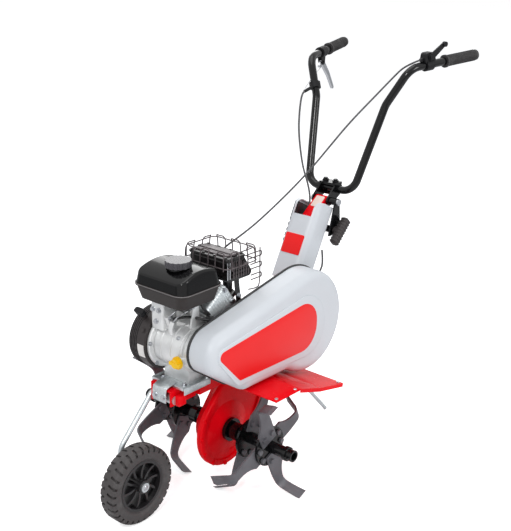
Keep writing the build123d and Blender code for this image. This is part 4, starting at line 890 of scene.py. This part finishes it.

# muffler: pressed grille on the left end and the folded edges at its front corner, the edges drawn as bright
# steel bars that paint the corner's highlights
mufflerGrille = Sizes(
    columns=[(-0.240, 0.622), (-0.231, 0.622), (-0.222, 0.622), (-0.213, 0.620), (-0.204, 0.616),
             (-0.195, 0.606), (-0.186, 0.594)],
    low=0.579, face=-0.0794, bow=0.0005, bar=0.0016,
    edges=(-0.2575, -0.2490), edgeFace=-0.0757, edgeBow=0.0004, edgeMiddle=0.6, edgeHigh=0.622,
    edgeBar=0.0017,
)


def makeMufflerGrille(c):
    def bar(x, face, bow, middle, high):
        return [(x, face, c.low), (x, face - bow, middle), (x, face, high)]

    bars = [bar(x, c.face, c.bow, (c.low + high) / 2, high) for x, high in c.columns]
    edges = [bar(x, c.edgeFace, c.edgeBow, c.edgeMiddle, c.edgeHigh) for x in c.edges]
    addPiece("mufflerGrille", wireMesh("mufflerGrille", bars, c.bar), "guardSteel")
    # painted highlight: bright steel bars down the muffler's front corner
    addPiece("mufflerEdgeHighlights", wireMesh("mufflerEdgeHighlights", edges, c.edgeBar), "brightSteel")


makeMufflerGrille(mufflerGrille)
print("muffler dressed")

# fuel tank: the rolled seam between its lid and its tub, its pale grey a painted highlight along the lid's
# rim
tankSeam = Sizes(low=(-0.4288, -0.0918), high=(-0.2812, 0.0838), round=0.0298, level=0.5835, bead=0.0011)


def makeTankSeam(c):
    rim = [(p.x, p.y, c.level) for p in boxOutline(c.low, c.high, c.round, 10)]
    addPiece("tankSeam", wireMesh("tankSeam", [rim], c.bead, True), "seamMoulding")


makeTankSeam(tankSeam)

# engine: the cylinder leans back from the crank
engineAxis = Sizes(crank=(-0.348, 0.422), lean=36)


def leanSpot(along, rise, y):
    lean = math.radians(engineAxis.lean)
    x, z = engineAxis.crank
    back = along * math.cos(lean) - rise * math.sin(lean)
    up = along * math.sin(lean) + rise * math.cos(lean)
    return Vector((x + back, y, z + up))


def around(degrees):  # a way out from the crank's axis
    turn = math.radians(degrees)
    return Vector((math.cos(turn), 0, math.sin(turn)))


finShroud = Sizes(start=0.078, to=0.158, low=0.0, high=0.060, left=-0.0632, right=0.030,
                  ridges=10, ridge=0.0011, bend=0.010, thick=0.0014)


def makeFinShroud(c):
    steps = c.ridges * 6
    left, shoulder, corner = c.left, c.high - c.bend, c.left + c.bend
    shape = bmesh.new()
    grid = []
    for step in range(steps + 1):
        along = c.start + (c.to - c.start) * step / steps
        ridge = c.ridge * abs(math.sin(math.pi * c.ridges * step / steps))
        row = [leanSpot(along, c.low, left - ridge), leanSpot(along, shoulder, left - ridge)]
        for turn in (0.25, 0.5, 0.75):
            angle = turn * math.pi / 2
            reach = c.bend + ridge
            row.append(leanSpot(along, shoulder + reach * math.sin(angle), corner - reach * math.cos(angle)))
        row += [leanSpot(along, c.high + ridge, corner), leanSpot(along, c.high + ridge, c.right)]
        grid.append([shape.verts.new(p) for p in row])
    for lower, upper in zip(grid, grid[1:]):
        for a, b, d, e in zip(lower, lower[1:], upper[1:], upper):
            shape.faces.new((a, b, d, e))
    bmesh.ops.recalc_face_normals(shape, faces=shape.faces[:])
    bmesh.ops.solidify(shape, geom=shape.faces[:], thickness=c.thick)
    addPiece("finShroud", takeMesh("finShroud", shape, 50), "brightAlloy")


makeFinShroud(finShroud)

crankParts = Sizes(
    flangeFrom=0.034,
    flange=[(0.056, 0), (0.067, 0.001), (0.070, 0.004), (0.070, 0.008), (0.064, 0.0095), (0.056, 0.0095)],
    bandRadius=0.0555, bands=(-0.052, -0.022, 0.012), band=0.0016,
    barrelBolts=(138, 196), barrelReach=0.0552, barrelY=-0.037,
    flangeBolts=(118, 172, 226), flangeReach=0.0665, bolt=0.0042,
    fan=0.0785, ribs=(0.073, 0.090), ribCount=4, rib=0.0009,
)


def makeCrankParts(c):
    x, z = engineAxis.crank
    axle = Vector((x, 0, z))
    flange = turnedMesh("crankFlange", c.flange, (x, c.flangeFrom, z), (0, 1, 0), 56, True)
    addPiece("crankFlange", flange, "castAlloy")
    bands = [((x, y, z), (x, y + 0.001, z), 1, c.bandRadius, c.band) for y in c.bands]
    addRings("crankBands", bands, "castAlloy")
    spots = []
    for degrees in c.barrelBolts:
        way = around(degrees)
        spots.append((tuple(axle + way * c.barrelReach + Vector((0, c.barrelY, 0))), tuple(way)))
    for degrees in c.flangeBolts:
        face = Vector((0, c.flangeFrom + 0.001, 0))
        spots.append((tuple(axle + around(degrees) * c.flangeReach + face), (0, -1, 0)))
    addBolts("crankBolts", spots, c.bolt, c.bolt)
    first, last = c.ribs
    ribs = [((x, first, z), (x, last, z), c.ribCount, c.fan, c.rib)]
    addRings("fanRibs", ribs, "blackMoulding")


makeCrankParts(crankParts)

# engine: hose, spark lead, governor links and the small levers under the tank
engineLines = {
    "fuelHose": Sizes(radius=0.0035, finish="trimRubber", runs=[[
        (-0.330, -0.052, 0.548), (-0.330, -0.058, 0.528), (-0.318, -0.064, 0.512), (-0.300, -0.060, 0.496),
        (-0.286, -0.040, 0.490)]]),
    "sparkLead": Sizes(radius=0.0035, finish="trimRubber", runs=[[
        (-0.306, -0.070, 0.489), (-0.318, -0.074, 0.492), (-0.336, -0.070, 0.500), (-0.352, -0.050, 0.506),
        (-0.364, -0.020, 0.500), (-0.372, 0.000, 0.492)]]),
    "governorLinks": Sizes(radius=0.0011, finish="brightSteel", runs=[
        [(-0.402, -0.030, 0.497), (-0.396, -0.036, 0.512), (-0.372, -0.042, 0.520), (-0.340, -0.046, 0.524),
         (-0.320, -0.050, 0.520)],
        [(-0.400, -0.010, 0.503), (-0.392, -0.020, 0.518), (-0.366, -0.030, 0.528),
         (-0.344, -0.040, 0.534)]]),
}
for name, run in engineLines.items():
    addPiece(name, wireMesh(name, run.runs, run.radius), run.finish)

engineBits = {
    "governorArm": Sizes(side=(0, 1, 0.2), width=0.012, thick=0.0025, finish="castAlloy", path=[
        (-0.404, -0.026, 0.470), (-0.406, -0.028, 0.486), (-0.402, -0.031, 0.502)]),
    "chokeArm": Sizes(side=(0, 1, 0), width=0.010, thick=0.0025, finish="castAlloy", path=[
        (-0.392, -0.012, 0.478), (-0.398, -0.012, 0.494), (-0.402, -0.010, 0.508)]),
    "tankStrap": Sizes(side=(1, 0, 0), width=0.020, thick=0.004, finish="castAlloy", path=[
        (-0.352, -0.050, 0.478), (-0.350, -0.054, 0.506), (-0.346, -0.056, 0.546)]),
    "mufflerStay": Sizes(side=(1, 0, 0.17), width=0.016, thick=0.003, finish="mufflerPaint", path=[
        (-0.218, -0.0685, 0.574), (-0.217, -0.070, 0.549), (-0.213, -0.070, 0.525), (-0.209, -0.069, 0.502)]),
}
for name, bit in engineBits.items():
    addPiece(name, strapMesh(name, bit.path, bit.side, bit.width, bit.thick), bit.finish)

sparkBoot = Sizes(foot=(-0.300, -0.050, 0.488), aim=(-0.25, -0.85, 0.1),
                  profile=[(0.006, 0), (0.0085, 0.001), (0.0085, 0.016), (0.0065, 0.020), (0.005, 0.026)])
boot = turnedMesh("sparkBoot", sparkBoot.profile, sparkBoot.foot, sparkBoot.aim, 24)
addPiece("sparkBoot", boot, "trimRubber")

leftWay, frontWay, upWay = (0, -1, 0), (-1, 0, 0), (0, 0, 1)
headCorners = Sizes(y=-0.0645, places=((0.086, 0.008), (0.150, 0.008), (0.150, 0.050)))
headSpots = [tuple(leanSpot(along, rise, headCorners.y)) for along, rise in headCorners.places]
engineBolts = [
    ((-0.356, -0.0535, 0.534), leftWay), ((-0.3775, 0.0015, 0.530), leftWay),
    ((-0.3775, 0.0015, 0.496), leftWay), ((-0.403, 0.014, 0.520), frontWay),
    ((-0.403, 0.034, 0.520), frontWay), ((-0.403, 0.024, 0.490), frontWay),
    *((spot, leftWay) for spot in headSpots), ((-0.214, -0.0725, 0.528), leftWay),
]
addBolts("engineBolts", engineBolts, head=0.005, height=0.005)
print("engine dressed")

# nose: galvanised tongue over the front, the base plate's lips and bolts, and the wheel bracket's ears
nose = Sizes(
    tongue=[(-0.384, 0, 0.3345), (-0.404, 0, 0.333), (-0.4185, 0, 0.328), (-0.4215, 0, 0.316),
            (-0.4215, 0, 0.292)],
    width=0.046, thick=0.003, lip=0.003, lipEdge=0.001, lipFoot=0.313, lipRear=-0.300,
    ears=[((-0.404, 0.0345, 0.296), (-0.380, 0.050, 0.3245)),
          ((-0.404, -0.050, 0.284), (-0.378, -0.0345, 0.312))],
    earEdge=0.003, boltX=(-0.372, -0.292), boltY=(-0.037, 0.037), tongueBolt=(-0.4235, 0.014, 0.306),
    sideBolt=(-0.360, 0.0345, 0.306), head=0.0055, height=0.005,
)


def makeNose(c):
    tongue = strapMesh("noseTongue", c.tongue, (0, 1, 0), c.width, c.thick)
    addPiece("noseTongue", tongue, "zincPlate")
    low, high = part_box("engine_base_plate")
    top = high[2]
    spans = [((low[0] - c.lip, low[1], low[2] + 0.0004), (low[0] + 0.001, high[1], top + 0.003))]
    for first, last in ((low[1] - c.lip, low[1]), (high[1], high[1] + c.lip)):
        spans.append(((low[0], first, c.lipFoot), (c.lipRear, last, top + 0.002)))
    lips = [blockMesh("lip", *corners, c.lipEdge) for corners in spans]
    addPiece("basePlateLips", joinMeshes("basePlateLips", lips), "zincPlate")
    ears = [blockMesh("ear", *corners, c.earEdge) for corners in c.ears]
    addPiece("noseEars", joinMeshes("noseEars", ears), "redEnamel")
    spots = [((x, y, top), upWay) for x in c.boltX for y in c.boltY]
    x, y, z = c.tongueBolt
    spots += [((x, side * y, z), frontWay) for side in (-1, 1)]
    x, y, z = c.sideBolt
    spots += [((x, side * y, z), (0, side, 0)) for side in (-1, 1)]
    addBolts("noseBolts", spots, c.head, c.height)


makeNose(nose)

# chain case: bolts round the rim, and the mudguards' outer screws
caseBolts = Sizes(turns=(150, 178, 206, 234, 262, 290, 318), radius=0.0985, face=-0.0405, head=0.0045,
                  height=0.004)


def makeCaseBolts(c):
    middle = Vector((tineAxle[0], c.face, tineAxle[1]))
    spots = [(tuple(middle + around(degrees) * c.radius), leftWay) for degrees in c.turns]
    addBolts("caseBolts", spots, c.head, c.height, "redEnamel")


makeCaseBolts(caseBolts)
guardScrews = [(-0.250, 0.228, 0.3092), (-0.178, 0.228, 0.3085), (0.002, 0.228, 0.262)]
screwSpots = [((x, side * y, z), upWay) for side in (-1, 1) for x, y, z in guardScrews]
addBolts("mudguardScrews", screwSpots, head=0.0034, height=0.0026, finishName="zincPlate")

# column: vent slits along the far front corner, drawn as dark rubber beads that paint the shade inside the
# openings
columnVents = Sizes(first=0.100, pitch=0.015, count=7, length=0.009, side=0.0384, depth=-0.0415,
                    slit=0.0013)


def makeColumnVents(c):
    runs = []
    for index in range(c.count):
        start = c.first + index * c.pitch
        runs.append([columnSpot(c.side, along, c.depth) for along in (start, start + c.length)])
    # painted shade: dark beads standing for the shadowed vent openings
    addPiece("columnVents", wireMesh("columnVents", runs, c.slit), "trimRubber")


makeColumnVents(columnVents)

# column: dark block inside the far ear of the notch, painted shade standing in for the shadow inside the
# hollow covers
columnShadeBlock = Sizes(side=(0.0304, 0.0408), along=(0.172, 0.216), depth=(-0.038, 0.026), edge=0.002)


def makeColumnShadeBlock(c):
    shape = bmesh.new()
    bmesh.ops.create_cube(shape, size=1)
    for vert in shape.verts:
        spans = zip((c.side, c.along, c.depth), vert.co)
        vert.co = columnSpot(*(low + (high - low) * (v + 0.5) for (low, high), v in spans))
    bevelEdges(shape, c.edge, 2)
    bmesh.ops.recalc_face_normals(shape, faces=shape.faces[:])
    # painted shade: dark block filling the covers' hollow behind the notch
    addPiece("columnShadeBlock", takeMesh("columnShadeBlock", shape, 40), "trimRubber")


makeColumnShadeBlock(columnShadeBlock)

# column: bare plate on the arm
armPlate = Sizes(middle=(0.1935, 0, 0.6697), along=(0.8, 0, 0.6), out=(-0.6, 0, 0.8),
                 half=(0.019, 0.014), round=0.003, sink=0.001, thick=0.0022, edge=0.0004)


def makeArmPlate(c):
    half, wide = c.half
    middle, along, out = (Vector(v) for v in (c.middle, c.along, c.out))

    def spot(x, y, height):
        return middle + along * x + out * (height - c.sink) + Vector((0, y, 0))

    outline = boxOutline((-half, -wide), (half, wide), c.round, 4)
    addPiece("armPlate", plateMesh("armPlate", outline, spot, c.thick, c.edge), "palePlate")


makeArmPlate(armPlate)

# handlebar: ribbed grips and the clutch's inner wire
grips = Sizes(end=(0.59854, 0.2247, 1.0514), way=(0.9694, 0.2324, 0.0795), span=(0.106, 0.006),
              ribs=21, ring=0.0146, bead=0.0011)


def makeGripRibs(c):
    rows = []
    for side in (-1, 1):
        ends = [Vector(c.end) - Vector(c.way) * back for back in c.span]
        rows.append((*((p.x, side * p.y, p.z) for p in ends), c.ribs, c.ring, c.bead))
    addRings("gripRibs", rows, "gripRubber", "handlebar")


makeGripRibs(grips)
clutchWire = [(.426, .178, .996), (.378, .160, .986), (.328, .141, .973), (.280, .122, .958)]
wire = wireMesh("clutchInnerWire", [clutchWire], radius=0.0009)
wire = addPiece("clutchInnerWire", wire, "brightSteel", None)
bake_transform(wire)

# starter rope running out of the fan housing
starterRope = Sizes(foot=(-0.348, 0.073, 0.422), way=(-0.6, 0, 0.8), radius=0.0022,
                    run=(0.070, 0.076, 0.082, 0.088, 0.092), blend=(0.072, 0.090))


def makeStarterRope(c):
    def spot(reach):
        return tuple(Vector(c.foot) + Vector(c.way) * reach)

    mesh = wireMesh("starterRope", [[spot(reach) for reach in c.run]], c.radius)
    rope = addPiece("starterRope", mesh, "cableSheath", None)
    first, last = c.blend
    spot(first)
    spot(last)
    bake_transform(rope)


makeStarterRope(starterRope)

# rotor: lock pins and collars on the open tube ends
tineEnds = Sizes(pinAt=0.248, pin=0.0038, reach=0.021, collarAt=0.232,
                 collar=[(0.0152, 0), (0.0185, 0.001), (0.0185, 0.011), (0.0152, 0.012)])


def makeTineEnds(c):
    x, z = tineAxle
    pins, collars = [], []
    for side in (-1, 1):
        y = side * c.pinAt
        pins.append([(x - c.reach, y, z), (x, y, z + 0.0004), (x + c.reach, y, z)])
        foot = (x, side * c.collarAt, z)
        collars.append(turnedMesh("collar", c.collar, foot, (0, side, 0), 36, True))
    addPiece("tinePins", wireMesh("tinePins", pins, c.pin), "blackEnamel", "rotor")
    addPiece("tineCollars", joinMeshes("tineCollars", collars), "blackEnamel", "rotor")


makeTineEnds(tineEnds)

# front wheel: bright caps over the axle
axleCaps = Sizes(x=-0.505, z=0.1,
                 profile=[(0.0082, 0), (0.0082, 0.002), (0.0066, 0.0045), (0.004, 0.006), (0.0005, 0.0064)])


def makeAxleCaps(c):
    low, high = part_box("wheel_rim")
    caps = [turnedMesh("cap", c.profile, (c.x, y, c.z), (0, way, 0), 28)
            for y, way in ((low[1], -1), (high[1], 1))]
    addPiece("axleCaps", joinMeshes("axleCaps", caps), "brightSteel", "front_wheel")


makeAxleCaps(axleCaps)

# clamp knob: finger ribs round its bar
knobBar = Sizes(middle=(0.206, -0.070, 0.5945), way=(0.7071, 0, 0.7071), half=(0.0113, 0.0133),
                round=0.008, reach=0.036, ribs=9, bead=0.0013)


def makeKnobRibs(c):
    way = Vector(c.way)
    across = Vector((-way.z, 0, way.x))
    wide, tall = c.half
    outline = boxOutline((-wide, -tall), (wide, tall), c.round, 5)
    loops = []
    for index in range(c.ribs):
        place = Vector(c.middle) + way * (c.reach * (2 * index / (c.ribs - 1) - 1))
        loops.append([place + Vector((0, 1, 0)) * p.x + across * p.y for p in outline])
    addPiece("knobRibs", wireMesh("knobRibs", loops, c.bead, True), "fanMoulding", "tilt_knob")


makeKnobRibs(knobBar)

# fan housing: bare pale plate on its lower front and a domed screw above it
fanPlate = Sizes(start=177, to=202, y=(0.0465, 0.068), radius=0.0788, thick=0.002, steps=10,
                 dome=(150, 0.056), domeSink=0.0012, head=0.0052, height=0.004)


def makeFanPlate(c):
    x, z = engineAxis.crank
    axle = Vector((x, 0, z))
    low, high = (Vector((0, y, 0)) for y in c.y)
    rings = []
    for step in range(c.steps + 1):
        way = around(c.start + (c.to - c.start) * step / c.steps)
        inner = axle + way * (c.radius - c.thick)
        outer = axle + way * c.radius
        rings.append([inner + low, outer + low, outer + high, inner + high])
    addPiece("fanPlate", takeMesh("fanPlate", skinShape(rings), 30), "whitePlate")
    degrees, y = c.dome
    foot = Vector((x, y, z)) + around(degrees) * (c.radius - c.domeSink)
    addBolts("fanDome", [(tuple(foot), tuple(around(degrees)))], c.head, c.height, "fanMoulding")


makeFanPlate(fanPlate)
print("pieces dressed")

# floor, backdrop and lamps
studio = Sizes(
    size=14, drop=-0.0005, color=tone(250, 250, 251), glow=0.62, sky=(0.95, 0.97, 1.0, 1),
    skyLight=0.42, aim=(0, 0, 0.45),
    lamps={
        "keyPanel": Sizes(place=(-2.6, -1.2, 2.6), size=0.8, power=40),
        "fillPanel": Sizes(place=(0.6, -3.0, 1.8), size=1.1, power=30),
        "topPanel": Sizes(place=(-0.2, 0.4, 3.4), size=2.6, power=32),
        "backPanel": Sizes(place=(2.2, 2.2, 2.2), size=2.0, power=22),
    },
)


def makeFloor(c):
    shape = bmesh.new()
    bmesh.ops.create_grid(shape, x_segments=1, y_segments=1, size=c.size)
    mesh = bpy.data.meshes.new("studioFloor")
    shape.to_mesh(mesh)
    shape.free()
    f = Finish("studioPaper", **{"Roughness": 0.9, "Specular IOR Level": 0.1})
    f.paint(color=f.mix(f.noise(1.5, 2) * 0.1, c.color, darker(c.color, 0.985)))
    seen = f.node("ShaderNodeLightPath", {}, {}).outputs["Is Camera Ray"]
    f.feed(f.shader.inputs["Emission Color"], f.mix(seen, (0.0, 0.0, 0.0), (1.0, 1.0, 1.0)))
    f.shader.inputs["Emission Strength"].default_value = c.glow
    mesh.materials.append(f.material)
    floor = bpy.data.objects.new("studioFloor", mesh)
    floor.location.z = c.drop
    bpy.context.scene.collection.objects.link(floor)


def makeBackdrop(c):
    world = bpy.data.worlds.new("studioWorld")
    world.use_nodes = True
    bpy.context.scene.world = world
    tree = world.node_tree
    tree.nodes.clear()
    path = tree.nodes.new("ShaderNodeLightPath")
    shown = tree.nodes.new("ShaderNodeBackground")
    shown.inputs["Color"].default_value = (1, 1, 1, 1)
    lit = tree.nodes.new("ShaderNodeBackground")
    lit.inputs["Color"].default_value = c.sky
    lit.inputs["Strength"].default_value = c.skyLight
    share = path.outputs["Is Camera Ray"]
    for ray in ("Is Glossy Ray", "Is Transmission Ray"):
        either = tree.nodes.new("ShaderNodeMath")
        either.operation = "MAXIMUM"
        tree.links.new(share, either.inputs[0])
        tree.links.new(path.outputs[ray], either.inputs[1])
        share = either.outputs[0]
    pick = tree.nodes.new("ShaderNodeMixShader")
    for socket, source in zip(pick.inputs, (share, lit.outputs[0], shown.outputs[0])):
        tree.links.new(source, socket)
    out = tree.nodes.new("ShaderNodeOutputWorld")
    tree.links.new(pick.outputs[0], out.inputs["Surface"])


def makeLamps(c):
    for name, lamp in c.lamps.items():
        light = bpy.data.lights.new(name, "AREA")
        light.shape = "DISK"
        light.size = lamp.size
        light.energy = lamp.power
        holder = bpy.data.objects.new(name, light)
        bpy.context.scene.collection.objects.link(holder)
        holder.location = lamp.place
        aim = Vector(c.aim) - Vector(lamp.place)
        holder.rotation_euler = aim.to_track_quat("-Z", "Y").to_euler()


makeFloor(studio)
makeBackdrop(studio)
makeLamps(studio)
print("studio set")
